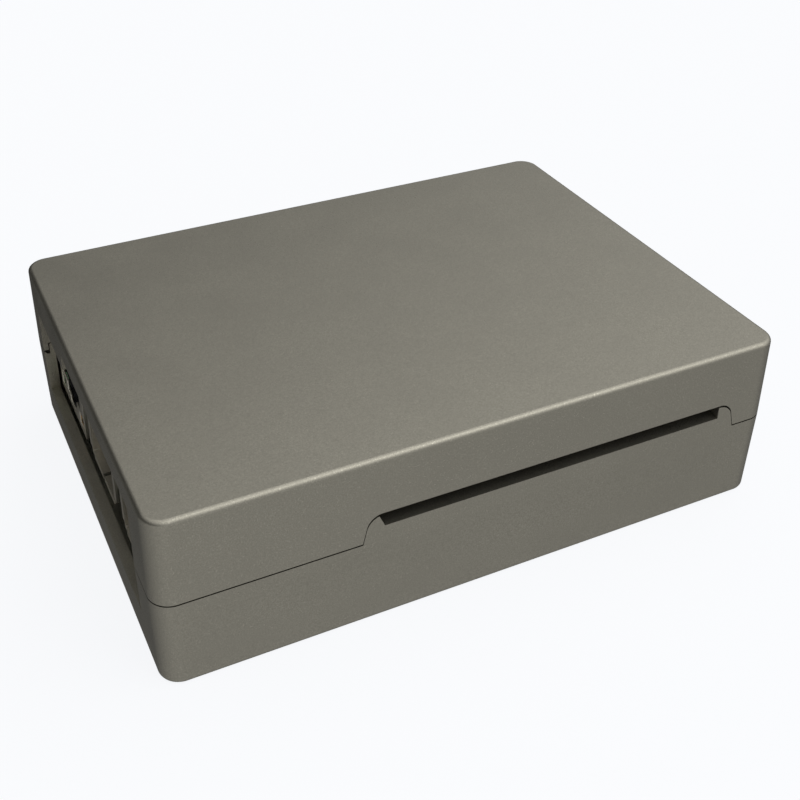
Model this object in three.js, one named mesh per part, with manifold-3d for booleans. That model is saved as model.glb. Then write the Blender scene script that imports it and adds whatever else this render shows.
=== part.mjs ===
// A single board computer in its two-part aluminium case.
// Units are millimetres and +Z is up. The origin is the centre of the case's underside.
// The socket end faces -X, the pin header's long side faces -Y, the display and sound side faces +Y.

import * as THREE from "three";
import { mergeVertices } from "three/addons/utils/BufferGeometryUtils.js";
import Module from "manifold-3d";

// ---------------------------------------------------------------- driving dimensions

// Case, outside
const CASE_LENGTH = 92;
const CASE_WIDTH = 68;
const CASE_HEIGHT = 26.5;
const CORNER_RADIUS = 3;
const TOP_EDGE_RADIUS = 0.7;
const BASE_EDGE_RADIUS = 0.7;
const BASE_TAPER = 0.3; // the lower shell is this much narrower on each side at its foot
const SEAM_HEIGHT = 13.55;
const SEAM_GAP = 0.2;

// Case, inside
const SIDE_WALL = 2.2;
const SOCKET_END_WALL = 1.7;
const FLOOR = 2;
const ROOF = 1.8;
const INNER_CORNER_RADIUS = 1.2;
const LIP_THICKNESS = 0.8;
const LIP_HEIGHT = 1.2;
const LIP_CLEARANCE = 0.15;
const LIP_ROOT = 1; // how far the lip and the standoffs are sunk into what carries them

// Board: 85 x 56 mm, with four holes on a 58 x 49 mm rectangle
const BOARD_LENGTH = 85;
const BOARD_WIDTH = 56;
const BOARD_THICKNESS = 1.4;
const BOARD_TOP = 7.2;
const BOARD_BOTTOM = BOARD_TOP - BOARD_THICKNESS;
const BOARD_CARD_END = 43; // X of the edge that takes the memory card
const BOARD_SOCKET_END = BOARD_CARD_END - BOARD_LENGTH;
const BOARD_SHIFT = 0.8; // the board lies this far to +Y of the case's middle
const DISPLAY_EDGE = BOARD_WIDTH / 2; // board's own Y of the edge with the display and sound sockets
const HOLE_INSET = 3.5;
const HOLE_SPACING = 58;
const HOLE_RADIUS = 1.375;

// Screws and what they pass through
const SCREW_RADIUS = 1.05;
const SCREW_HEAD_RADIUS = 2.3;
const SCREW_HEAD_HEIGHT = 1.3;
const SCREW_TOP = 15;
const SCREW_CLEARANCE = 0.2;
const KEY_SOCKET_RADIUS = 0.8;
const KEY_SOCKET_DEPTH = 0.9;
const STANDOFF_RADIUS = 3.1;
const PILLAR_RADIUS = 2.6;

// Ribbon slot in a tab that the lower shell raises into a notch of the upper shell
const TAB_LEFT = -18.8;
const TAB_RIGHT = 39.6;
const TAB_TOP = 17.45;
const TAB_RADIUS = 1.7;
const TAB_LEAN = 0.95; // how far each flank leans in on its way up from the seam
const TAB_GAP = 0.3; // between the tab's top and its notch
const TAB_PLAY = 0.08; // what the notch has besides on each flank
const SLOT_LEFT = -15.8;
const SLOT_RIGHT = 36.7;
const SLOT_SILL = 15.65;
const SLOT_LEAN = 0.44; // how far the left end leans outwards per millimetre of height

// Window over the sockets: its top steps up beside the network socket
const WINDOW_NEAR = -25.6;
const WINDOW_FAR = 27.3;
const WINDOW_SILL = 6.2;
const WINDOW_TOP_NETWORK = 20.6;
const WINDOW_TOP_USB = 23.1;
const WINDOW_STEP = 10.3;

// Sockets at the -X end
const SOCKET_FRONT = BOARD_SOCKET_END - 2;
const SHEET = 0.35;
const FIT_GAP = 0.12;
const USB_CENTRES = [-19, -1];
const USB_WIDTH = 13.1;
const USB_DEPTH = 17.5;
const USB_BOTTOM = 0.9;
const USB_TOP = 15.6;
const USB_MOUTH_HEIGHT = 5.12;
const USB_MOUTH_CENTRES = [3.8, 12];
const USB_FLANGE = 0.9; // the side flanges stand out this far
const USB_LOW_FLANGE = 0.6; // the lower one stands down this far
const USB_FLANGE_INSET = 0.9; // the flanges stop this far short of the shell's corners
const USB_FOOT = 1;
const USB_FRONT_SETBACK = 0.6; // the moulding lies this far behind the shell's front
const USB_MOUTH_DEPTH = 13;
const TONGUE_SETBACK = 1.5;
const TONGUE_RISE = 0.2; // the tongue's underside above the mouth's middle
const TONGUE_THICKNESS = 1.84;
const TONGUE_WIDTH = 11.1;
const NETWORK_CENTRE = 17.75;
const NETWORK_WIDTH = 16;
const NETWORK_DEPTH = 21.3;
const NETWORK_HEIGHT = 13.5;
const PLUG_WIDTH = 11.8;
const PLUG_BOTTOM = 3.7;
const PLUG_TOP = 10.5;
const PLUG_DEPTH = 12;
const LATCH_WIDTH = 6.2;
const LATCH_BOTTOM = 1.9;
const LATCH_TIP_WIDTH = 3.4;
const LATCH_TIP_BOTTOM = 0.9;
const LAMP_WIDTH = 2.6;
const LAMP_HEIGHT = 2.2;
const LAMP_OFFSET = 5.9;
const LAMP_BOTTOM = 0.9;
const LAMP_DEPTH = 5;
const LAMP_CLEARANCE = 0.1;

// Pin header: 20 by 2 pins
const HEADER_CENTRE = 10.5;
const HEADER_EDGE_INSET = 3.5;
const PIN_PITCH = 2.54;
const PIN_COLUMNS = 20;
const PIN_ROWS = 2;
const PIN_SIZE = 0.64;
const PIN_TOP = 8.5;
const HEADER_BASE = 2.5;

// Sockets on the +Y edge, and the cut-outs in the case wall that let their plugs in
const DISPLAY_SOCKET = { x: 11, width: 14.5, height: 6.1, depth: 11.4, proud: 1.3 };
const DISPLAY_TONGUE = { width: 11.4, thickness: 1.3, middle: 3.4 };
const POWER_SOCKET = { x: 32.4, width: 7.6, height: 2.9, depth: 5.6, proud: 1.3 };
const POWER_TONGUE = { width: 4, thickness: 0.6, middle: 1.6 };
const TONGUE_TIP_SETBACK = 1;
const SOCKET_CORNER_WIDTH = 0.12; // a cut corner's shares of the socket's width and height
const SOCKET_CORNER_HEIGHT = 0.3;
const SOCKET_REAR_SHARE = 0.2; // the moulding's back wall, as a share of the depth
const SOUND_SOCKET = { x: -10.5, width: 7, height: 6, depth: 12.4, proud: 0 };
const SOUND_COLLAR_RADIUS = 2.9;
const SOUND_COLLAR_LENGTH = 2.4;
const SOUND_BORE_RADIUS = 1.8;
const SOUND_BORE_DEPTH = 11;
const CUTOUT_CORNER = 1.2;
const DISPLAY_CUTOUT = { x: 11, width: 20.4, low: 5.4, high: 15.2 };
const POWER_CUTOUT = { x: 32.4, width: 12, low: 4.9, high: 12.5 };
const SOUND_CUTOUT = { x: -10.5, width: 9.4, low: 5.6, high: 15 };

// Memory card under the board, and its slot in the case's end wall
const CARD_LENGTH = 15;
const CARD_WIDTH = 11;
const CARD_THICKNESS = 0.75;
const CARD_BOTTOM = 4.55;
const CARD_OUTER_END = 45;
const CARD_SOCKET_WIDTH = 13.6;
const CARD_SOCKET_LENGTH = 14.4;
const CARD_SOCKET_HEIGHT = 1.5;
const CARD_SLOT_WIDTH = 15;
const CARD_SLOT_BOTTOM = 2.9;
const CARD_SLOT_TOP = 6.3;
const CARD_SOCKET_SETBACK = 0.6; // from the board's edge
const CARD_NARROWING = 1.2; // the inner end is this much narrower, on one side
const CARD_NARROW_LENGTH = 6.5;
const CARD_STEP = 1.3;
const CARD_CHAMFER = 0.6;

// Heat path from the processor to the upper shell
const PROCESSOR = { x: 17.5, y: -5, width: 14, depth: 14, height: 1.3 };
const PAD_THICKNESS = 1;
const HEAT_PILLAR_WIDTH = 13;
const PAD_INSET = 0.25;

// Ribbon connectors that stand on the board, along Y
const CAMERA_CONNECTOR = { x: -2, y: 16.5 };
const SCREEN_CONNECTOR = { x: 39.4, y: 0 };
const RIBBON_BODY = { width: 2.7, length: 21, height: 4.1 };
const RIBBON_SLOT = { width: 0.7, length: 16.4, depth: 3 };
const RIBBON_LATCH = { width: 3, length: 22, height: 1.3, skirt: 1, earWidth: 1.8 };

// Chips and small parts on the board: centre, size along X, along Y, and height
const TOP_PARTS = {
  usb_hub_chip: { x: -14, y: -5, width: 9, depth: 9, height: 0.9 },
  power_chip: { x: 32.5, y: 11, width: 5, depth: 5, height: 0.9 },
  power_inductor_1: { x: 32.5, y: 3.6, width: 3.2, depth: 3.2, height: 1.6 },
  power_inductor_2: { x: 27.5, y: 8, width: 3.2, depth: 3.2, height: 1.6 },
  resettable_fuse: { x: 27, y: 18.5, width: 4.6, depth: 3.2, height: 0.9 },
  network_crystal: { x: -14, y: 4.5, width: 5, depth: 3.2, height: 1 },
  processor_crystal: { x: 27.5, y: -5, width: 3.2, depth: 2.5, height: 0.8 },
  wireless_antenna: { x: 38.7, y: -17.2, width: 2, depth: 7, height: 1.2 },
  power_lamp: { x: 41.2, y: 17.5, width: 1.6, depth: 0.9, height: 0.7 },
  activity_lamp: { x: 41.2, y: 19.6, width: 1.6, depth: 0.9, height: 0.7 },
  bulk_capacitor_1: { x: 21.6, y: 14.5, width: 3.5, depth: 2.8, height: 1.9 },
  bulk_capacitor_2: { x: -21, y: 4, width: 3.5, depth: 2.8, height: 1.9 },
};
const UNDERSIDE_PARTS = {
  memory_chip: { x: 17.5, y: -5, width: 12, depth: 12, height: 0.9 },
  wireless_chip: { x: 22.5, y: -19, width: 5, depth: 5, height: 0.8 },
};

// Small values
const SEAT_GAP = 0.05; // what rests on the board stays this far off it
const PILLAR_GAP = 0.1; // the upper shell's pillars stop this far above the board
const CHIP_CORNER = 0.2;
const BOARD_CORNER_RADIUS = 3;
const CORNER_STEPS = 6;
const EDGE_STEPS = 3;
const ROUND_STEPS = 20;
const OVERCUT = 2; // how far a cutting solid runs past what it cuts, or a joined one into it

// ---------------------------------------------------------------- solids

const wasm = await Module();
wasm.setup();

/** A closed three.js geometry as a solid that can be joined and cut. */
function solid(geometry) {
  const bare = geometry.index ? geometry.toNonIndexed() : geometry.clone();
  bare.deleteAttribute("normal");
  bare.deleteAttribute("uv");
  const merged = mergeVertices(bare, 1e-4);
  return new wasm.Manifold(
    new wasm.Mesh({
      numProp: 3,
      vertProperties: merged.attributes.position.array,
      triVerts: new Uint32Array(merged.index.array),
    }),
  );
}

/** A solid's surface as a three.js geometry. */
function geometryOf(body) {
  const mesh = body.getMesh();
  const positions = new Float32Array(mesh.numVert * 3);
  for (let i = 0; i < mesh.numVert; i++) {
    positions.set(mesh.vertProperties.subarray(i * mesh.numProp, i * mesh.numProp + 3), i * 3);
  }
  const geometry = new THREE.BufferGeometry();
  geometry.setAttribute("position", new THREE.BufferAttribute(positions, 3));
  geometry.setIndex(new THREE.BufferAttribute(mesh.triVerts, 1));
  geometry.computeVertexNormals();
  return geometry;
}

/** A block between two corners. */
function block([x0, y0, z0], [x1, y1, z1]) {
  const geometry = new THREE.BoxGeometry(x1 - x0, y1 - y0, z1 - z0);
  return solid(geometry.translate((x0 + x1) / 2, (y0 + y1) / 2, (z0 + z1) / 2));
}

/** A block centred on (x, y), between two heights. */
function slab(x, y, width, depth, z0, z1) {
  return block([x - width / 2, y - depth / 2, z0], [x + width / 2, y + depth / 2, z1]);
}

/** An upright cylinder between two heights. */
function post(x, y, radius, z0, z1, steps = ROUND_STEPS) {
  const geometry = new THREE.CylinderGeometry(radius, radius, z1 - z0, steps);
  return solid(geometry.rotateX(Math.PI / 2).translate(x, y, (z0 + z1) / 2));
}

/** A closed outline with rounded corners, from (x0, y0) to (x1, y1). */
function roundedOutline(x0, y0, x1, y1, radius) {
  const centres = [
    [x1 - radius, y1 - radius, 0],
    [x0 + radius, y1 - radius, 1],
    [x0 + radius, y0 + radius, 2],
    [x1 - radius, y0 + radius, 3],
  ];
  const points = [];
  for (const [x, y, quarter] of centres) {
    for (let i = 0; i <= CORNER_STEPS; i++) {
      const angle = ((quarter + i / CORNER_STEPS) * Math.PI) / 2;
      points.push(new THREE.Vector2(x + radius * Math.cos(angle), y + radius * Math.sin(angle)));
    }
  }
  return new THREE.Shape(points);
}

/** An outline in X and Y raised between two heights, with its two rims rounded by edge. */
function raised(outline, z0, z1, edge = 0) {
  const geometry = new THREE.ExtrudeGeometry(outline, {
    depth: z1 - z0 - 2 * edge,
    bevelEnabled: edge > 0,
    bevelThickness: edge,
    bevelSize: edge,
    bevelOffset: -edge,
    bevelSegments: EDGE_STEPS,
  });
  return geometry.translate(0, 0, z0 + edge);
}

/** An outline in X and Z drawn out along Y between two places. */
function drawnAlongY(outline, y0, y1) {
  const geometry = new THREE.ExtrudeGeometry(outline, { depth: y1 - y0, bevelEnabled: false });
  return solid(geometry.rotateX(Math.PI / 2).translate(0, y1, 0));
}

/** A solid turned about the upright axis at (x, y) from a list of [radius, height]. */
function turned(x, y, profile, steps = ROUND_STEPS) {
  const points = profile.map(([radius, height]) => new THREE.Vector2(radius, height));
  const geometry = new THREE.LatheGeometry(points, steps);
  return solid(geometry.rotateX(Math.PI / 2).translate(x, y, 0));
}

/** Joins a list of solids. */
function joined(bodies) {
  return bodies.reduce((whole, body) => whole.add(body));
}

/** Takes each of a list of solids away from a body. */
function cut(body, tools) {
  return tools.reduce((rest, tool) => rest.subtract(tool), body);
}

// ---------------------------------------------------------------- finishes

/** A finish: colour, roughness and metalness. */
function finish(colour, roughness, metalness) {
  return () => new THREE.MeshStandardMaterial({ color: colour, roughness, metalness });
}

const blastedAluminium = finish(0x77746b, 0.5, 0.9);
const blackSteel = finish(0x26272a, 0.4, 0.8);
const greenBoard = finish(0x1e5b34, 0.45, 0);
const brightSteel = finish(0xc3c5c6, 0.28, 1);
const blackPlastic = finish(0x161617, 0.55, 0);
const whitePlastic = finish(0xe2ded2, 0.5, 0);
const goldPins = finish(0x2a2620, 0.4, 0.3);
const chipPlastic = finish(0x1c1c1e, 0.5, 0);
const greyPad = finish(0x8f9aa3, 0.8, 0);
const greenLamp = finish(0x49b04d, 0.3, 0);
const amberLamp = finish(0xd99a2b, 0.3, 0);
const redLamp = finish(0xc23a2f, 0.3, 0);
const ceramic = finish(0xe9e4d6, 0.4, 0);
const crystalCan = finish(0xb9b7ae, 0.3, 1);

// ---------------------------------------------------------------- the assembly

const computer = new THREE.Group();

/** The board and all that is on it, in the board's own frame: its middle line is at Y 0. */
const boardGroup = new THREE.Group();
boardGroup.position.y = BOARD_SHIFT;
computer.add(boardGroup);

/** Adds one named piece to a group. */
function addPiece(group, name, body, material) {
  const mesh = new THREE.Mesh(geometryOf(body), material());
  mesh.name = name;
  group.add(mesh);
}

// ---------------------------------------------------------------- case

const INNER_LEFT = -CASE_LENGTH / 2 + SOCKET_END_WALL;
const INNER_RIGHT = CASE_LENGTH / 2 - SIDE_WALL;
const INNER_HALF_WIDTH = CASE_WIDTH / 2 - SIDE_WALL;
const INNER_TOP = CASE_HEIGHT - ROOF;
const BOARD_HOLES = [
  [BOARD_CARD_END - HOLE_INSET, -(DISPLAY_EDGE - HOLE_INSET)],
  [BOARD_CARD_END - HOLE_INSET, DISPLAY_EDGE - HOLE_INSET],
  [BOARD_CARD_END - HOLE_INSET - HOLE_SPACING, -(DISPLAY_EDGE - HOLE_INSET)],
  [BOARD_CARD_END - HOLE_INSET - HOLE_SPACING, DISPLAY_EDGE - HOLE_INSET],
];
const CASE_HOLES = BOARD_HOLES.map(([x, y]) => [x, y + BOARD_SHIFT]);

/** The case's outside, full height, with one rounding for both rims. */
function caseOutside(edge) {
  const outline = roundedOutline(
    -CASE_LENGTH / 2,
    -CASE_WIDTH / 2,
    CASE_LENGTH / 2,
    CASE_WIDTH / 2,
    CORNER_RADIUS,
  );
  return raised(outline, 0, CASE_HEIGHT, edge);
}

/** Draws the part of an outside below the seam in towards its foot. */
function tapered(geometry) {
  const position = geometry.attributes.position;
  for (let i = 0; i < position.count; i++) {
    const share = (SEAM_HEIGHT - position.getZ(i)) / SEAM_HEIGHT;
    const inwards = BASE_TAPER * share;
    position.setX(i, position.getX(i) - Math.sign(position.getX(i)) * inwards);
    position.setY(i, position.getY(i) - Math.sign(position.getY(i)) * inwards);
  }
  return geometry;
}

/** The case's hollow grown by a margin on every side, between two heights. */
function hollow(margin, z0, z1) {
  const outline = roundedOutline(
    INNER_LEFT - margin,
    -INNER_HALF_WIDTH - margin,
    INNER_RIGHT + margin,
    INNER_HALF_WIDTH + margin,
    INNER_CORNER_RADIUS + margin,
  );
  return solid(raised(outline, z0, z1));
}

/** A layer wider than the case, for keeping what lies between two heights. */
function layer(z0, z1) {
  return slab(0, 0, CASE_LENGTH + OVERCUT, CASE_WIDTH + OVERCUT, z0, z1);
}

/** The raised tab's outline seen from the front, lifted and widened for its notch. */
function tabOutline(lift, play, bottom) {
  const top = TAB_TOP + lift;
  const middle = (TAB_LEFT + TAB_RIGHT) / 2;
  const lean = Math.atan2(TAB_LEAN, TAB_TOP - SEAM_HEIGHT);
  const reach = (z) => TAB_RIGHT - middle + play - Math.tan(lean) * (z - SEAM_HEIGHT - lift);
  const centre = reach(top) - (TAB_RADIUS * (1 - Math.sin(lean))) / Math.cos(lean);
  const right = [[reach(bottom), bottom]];
  for (let i = 0; i <= CORNER_STEPS; i++) {
    const angle = lean + (i / CORNER_STEPS) * (Math.PI / 2 - lean);
    right.push([centre + TAB_RADIUS * Math.cos(angle), top - TAB_RADIUS + TAB_RADIUS * Math.sin(angle)]);
  }
  const left = right.map(([x, z]) => [-x, z]).reverse();
  return new THREE.Shape([...right, ...left].map(([x, z]) => new THREE.Vector2(middle + x, z)));
}

/** The ribbon slot's outline seen from the front, up past the tab's top. */
function slotOutline() {
  const top = TAB_TOP + OVERCUT;
  return new THREE.Shape([
    new THREE.Vector2(SLOT_LEFT, SLOT_SILL),
    new THREE.Vector2(SLOT_RIGHT, SLOT_SILL),
    new THREE.Vector2(SLOT_RIGHT, top),
    new THREE.Vector2(SLOT_LEFT - SLOT_LEAN * (top - SLOT_SILL), top),
  ]);
}

/** The window over the sockets, with its stepped top. */
function socketWindow() {
  const outside = -CASE_LENGTH / 2 - OVERCUT;
  return joined([
    block([outside, WINDOW_NEAR, WINDOW_SILL], [SOCKET_FRONT, WINDOW_STEP, WINDOW_TOP_USB]),
    block([outside, WINDOW_STEP - OVERCUT, WINDOW_SILL], [SOCKET_FRONT, WINDOW_FAR, WINDOW_TOP_NETWORK]),
  ]);
}

/** The cut-outs in the +Y wall for the display, power and sound plugs. */
function edgeCutouts() {
  return [
    [DISPLAY_CUTOUT, CUTOUT_CORNER],
    [POWER_CUTOUT, CUTOUT_CORNER],
    [SOUND_CUTOUT, SOUND_CUTOUT.width / 2 - SEAT_GAP],
  ].map(([{ x, width, low, high }, radius]) => {
    const outline = roundedOutline(x - width / 2, low, x + width / 2, high, radius);
    return drawnAlongY(outline, INNER_HALF_WIDTH - OVERCUT, CASE_WIDTH / 2 + OVERCUT);
  });
}

/** The slot in the +X wall for the memory card. */
function cardSlot() {
  return block(
    [INNER_RIGHT - OVERCUT, BOARD_SHIFT - CARD_SLOT_WIDTH / 2, CARD_SLOT_BOTTOM],
    [CASE_LENGTH / 2 + OVERCUT, BOARD_SHIFT + CARD_SLOT_WIDTH / 2, CARD_SLOT_TOP],
  );
}

/** The space for a countersunk screw, from the case's underside up. */
function screwHole([x, y]) {
  const head = SCREW_HEAD_RADIUS + SCREW_CLEARANCE;
  const bore = SCREW_RADIUS + SCREW_CLEARANCE;
  return turned(x, y, [
    [0, -OVERCUT],
    [head, -OVERCUT],
    [head, SCREW_CLEARANCE],
    [bore, SCREW_HEAD_HEIGHT + SCREW_CLEARANCE],
    [bore, BOARD_BOTTOM + OVERCUT],
    [0, BOARD_BOTTOM + OVERCUT],
  ]);
}

/** The lower shell: tray, standoffs, lip and raised tab. */
function bottomShell() {
  const rim = SEAM_HEIGHT - SEAM_GAP / 2;
  const tray = cut(solid(tapered(caseOutside(BASE_EDGE_RADIUS))).intersect(layer(-OVERCUT, rim)), [
    hollow(0, FLOOR, CASE_HEIGHT),
  ]);
  const lip = cut(hollow(LIP_THICKNESS, rim - LIP_ROOT, SEAM_HEIGHT + LIP_HEIGHT), [
    hollow(0, rim - OVERCUT, CASE_HEIGHT),
  ]);
  const tab = drawnAlongY(tabOutline(0, 0, rim - LIP_ROOT), -CASE_WIDTH / 2, -INNER_HALF_WIDTH);
  const standoffs = CASE_HOLES.map(([x, y]) => post(x, y, STANDOFF_RADIUS, FLOOR - LIP_ROOT, BOARD_BOTTOM));
  const slot = drawnAlongY(slotOutline(), -CASE_WIDTH / 2 - OVERCUT, -INNER_HALF_WIDTH + OVERCUT);
  return cut(joined([tray, lip, tab, ...standoffs]), [
    slot,
    socketWindow(),
    cardSlot(),
    ...edgeCutouts(),
    ...CASE_HOLES.map(screwHole),
  ]);
}

/** The upper shell: lid, screw pillars, heat pillar, rebate for the lip and notch for the tab. */
function topShell() {
  const rim = SEAM_HEIGHT + SEAM_GAP / 2;
  const rebate = LIP_THICKNESS + LIP_CLEARANCE;
  const lid = cut(solid(caseOutside(TOP_EDGE_RADIUS)).intersect(layer(rim, CASE_HEIGHT + OVERCUT)), [
    hollow(0, 0, INNER_TOP),
    hollow(rebate, 0, SEAM_HEIGHT + LIP_HEIGHT + LIP_CLEARANCE),
    drawnAlongY(
      tabOutline(TAB_GAP, TAB_PLAY, rim - OVERCUT),
      -CASE_WIDTH / 2 - OVERCUT,
      OVERCUT - INNER_HALF_WIDTH,
    ),
    socketWindow(),
    ...edgeCutouts(),
  ]);
  const pillars = CASE_HOLES.map(([x, y]) =>
    post(x, y, PILLAR_RADIUS, BOARD_TOP + PILLAR_GAP, INNER_TOP + LIP_ROOT),
  );
  const heatPillar = slab(
    PROCESSOR.x,
    PROCESSOR.y + BOARD_SHIFT,
    HEAT_PILLAR_WIDTH,
    HEAT_PILLAR_WIDTH,
    BOARD_TOP + PROCESSOR.height + PAD_THICKNESS + 3 * SEAT_GAP,
    INNER_TOP + LIP_ROOT,
  );
  const bores = CASE_HOLES.map(([x, y]) =>
    post(x, y, SCREW_RADIUS + SCREW_CLEARANCE, 0, SCREW_TOP + OVERCUT),
  );
  return cut(joined([lid, ...pillars, heatPillar]), bores);
}

/** A countersunk screw that comes up through the lower shell and the board. */
function caseScrew([x, y]) {
  const foot = SCREW_CLEARANCE;
  const screw = turned(x, y, [
    [0, foot],
    [SCREW_HEAD_RADIUS, foot],
    [SCREW_RADIUS, foot + SCREW_HEAD_HEIGHT],
    [SCREW_RADIUS, SCREW_TOP],
    [0, SCREW_TOP],
  ]);
  const keySocket = post(x, y, KEY_SOCKET_RADIUS, -OVERCUT, foot + KEY_SOCKET_DEPTH, 6);
  return cut(screw, [keySocket]);
}

addPiece(computer, "bottom_shell", bottomShell(), blastedAluminium);
addPiece(computer, "top_shell", topShell(), blastedAluminium);
CASE_HOLES.forEach((hole, i) => {
  addPiece(computer, `case_screw_${i + 1}`, caseScrew(hole), blackSteel);
});

// ---------------------------------------------------------------- board

/** The bare board with its four holes. */
function circuitBoard() {
  const outline = roundedOutline(
    BOARD_SOCKET_END,
    -BOARD_WIDTH / 2,
    BOARD_CARD_END,
    BOARD_WIDTH / 2,
    BOARD_CORNER_RADIUS,
  );
  const holes = BOARD_HOLES.map(([x, y]) => post(x, y, HOLE_RADIUS, 0, CASE_HEIGHT));
  return cut(solid(raised(outline, BOARD_BOTTOM + SEAT_GAP, BOARD_TOP)), holes);
}

/** A flat part with slightly rounded corners, between two heights. */
function chip({ x, y, width, depth }, z0, z1) {
  const [halfWidth, halfDepth] = [width / 2, depth / 2];
  const outline = roundedOutline(x - halfWidth, y - halfDepth, x + halfWidth, y + halfDepth, CHIP_CORNER);
  return solid(raised(outline, z0, z1));
}

const SURFACE = BOARD_TOP + SEAT_GAP;
const UNDERSIDE = BOARD_BOTTOM;

const TOP_FINISHES = {
  network_crystal: crystalCan,
  processor_crystal: crystalCan,
  wireless_antenna: ceramic,
  power_lamp: redLamp,
  activity_lamp: greenLamp,
};

addPiece(boardGroup, "circuit_board", circuitBoard(), greenBoard);
addPiece(boardGroup, "processor", chip(PROCESSOR, SURFACE, SURFACE + PROCESSOR.height), chipPlastic);
for (const [name, part] of Object.entries(TOP_PARTS)) {
  addPiece(boardGroup, name, chip(part, SURFACE, SURFACE + part.height), TOP_FINISHES[name] ?? chipPlastic);
}
for (const [name, part] of Object.entries(UNDERSIDE_PARTS)) {
  addPiece(boardGroup, name, chip(part, UNDERSIDE - part.height, UNDERSIDE), chipPlastic);
}

/** The soft pad between the processor and the upper shell's heat pillar. */
function thermalPad() {
  const bottom = SURFACE + PROCESSOR.height + SEAT_GAP;
  const width = HEAT_PILLAR_WIDTH - 2 * PAD_INSET;
  return slab(PROCESSOR.x, PROCESSOR.y, width, width, bottom, bottom + PAD_THICKNESS - SEAT_GAP);
}

addPiece(boardGroup, "thermal_pad", thermalPad(), greyPad);

// ---------------------------------------------------------------- sockets at the -X end

/** One double USB socket's metal shell, with flanges round its front and feet under it. */
function usbShell(y) {
  const back = SOCKET_FRONT + USB_DEPTH;
  const half = USB_WIDTH / 2;
  const low = BOARD_TOP + USB_BOTTOM;
  const high = BOARD_TOP + USB_TOP;
  const box = block([SOCKET_FRONT, y - half, low], [back, y + half, high]);
  const inside = block(
    [SOCKET_FRONT - OVERCUT, y - half + SHEET, low + SHEET],
    [back - SHEET, y + half - SHEET, high - SHEET],
  );
  const flangeEnd = half + USB_FLANGE;
  const sideFlanges = [-1, 1].map((side) => {
    const edges = [y + side * (half - SHEET), y + side * flangeEnd].sort((a, b) => a - b);
    return block(
      [SOCKET_FRONT, edges[0], low + USB_FLANGE_INSET],
      [SOCKET_FRONT + SHEET, edges[1], high - USB_FLANGE_INSET],
    );
  });
  const lowFlange = block(
    [SOCKET_FRONT, y - half + USB_FLANGE_INSET, low - USB_LOW_FLANGE],
    [SOCKET_FRONT + SHEET, y + half - USB_FLANGE_INSET, low + SHEET],
  );
  const footOffset = half - USB_FOOT / 2;
  const feet = [-1, 1].map((side) =>
    block(
      [BOARD_SOCKET_END + USB_FOOT, y + side * footOffset - USB_FOOT / 2, SURFACE],
      [back, y + side * footOffset + USB_FOOT / 2, low + SHEET],
    ),
  );
  return joined([cut(box, [inside]), ...sideFlanges, lowFlange, ...feet]);
}

/** The moulding inside a double USB socket: back, middle shelf and two tongues. */
function usbInsert(y) {
  const back = SOCKET_FRONT + USB_DEPTH - SHEET - FIT_GAP;
  const rearFace = SOCKET_FRONT + USB_MOUTH_DEPTH;
  const front = SOCKET_FRONT + USB_FRONT_SETBACK;
  const half = USB_WIDTH / 2 - SHEET - FIT_GAP;
  const low = BOARD_TOP + USB_BOTTOM + SHEET + FIT_GAP;
  const high = BOARD_TOP + USB_TOP - SHEET - FIT_GAP;
  const mouths = USB_MOUTH_CENTRES.map((centre) => BOARD_TOP + centre);
  const halfMouth = USB_MOUTH_HEIGHT / 2;
  const rear = block([rearFace, y - half, low], [back, y + half, high]);
  const shelf = block(
    [front, y - half, mouths[0] + halfMouth],
    [rearFace + USB_FOOT, y + half, mouths[1] - halfMouth],
  );
  const roof = block([front, y - half, mouths[1] + halfMouth], [back, y + half, high]);
  const tongues = mouths.map((z) =>
    block(
      [SOCKET_FRONT + TONGUE_SETBACK, y - TONGUE_WIDTH / 2, z + TONGUE_RISE],
      [rearFace + USB_FOOT, y + TONGUE_WIDTH / 2, z + TONGUE_RISE + TONGUE_THICKNESS],
    ),
  );
  return joined([rear, shelf, roof, ...tongues]);
}

USB_CENTRES.forEach((y, i) => {
  addPiece(boardGroup, `usb_socket_shell_${i + 1}`, usbShell(y), brightSteel);
  addPiece(boardGroup, `usb_socket_insert_${i + 1}`, usbInsert(y), blackPlastic);
});

/** What the network plug and its latch need, between two places along X. */
function plugSpace(x0, x1, margin) {
  const steps = [
    [PLUG_WIDTH, PLUG_BOTTOM, PLUG_TOP],
    [LATCH_WIDTH, LATCH_BOTTOM, PLUG_BOTTOM + OVERCUT],
    [LATCH_TIP_WIDTH, LATCH_TIP_BOTTOM, LATCH_BOTTOM + OVERCUT],
  ];
  return joined(
    steps.map(([width, low, high]) =>
      block(
        [x0, NETWORK_CENTRE - width / 2 - margin, BOARD_TOP + low - margin],
        [x1, NETWORK_CENTRE + width / 2 + margin, BOARD_TOP + high + margin],
      ),
    ),
  );
}

/** The space of one lamp beside the plug's latch. */
function lampSpace(side, x0, x1, margin) {
  const y = NETWORK_CENTRE + side * LAMP_OFFSET;
  return block(
    [x0, y - LAMP_WIDTH / 2 - margin, BOARD_TOP + LAMP_BOTTOM - margin],
    [x1, y + LAMP_WIDTH / 2 + margin, BOARD_TOP + LAMP_BOTTOM + LAMP_HEIGHT + margin],
  );
}

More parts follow.
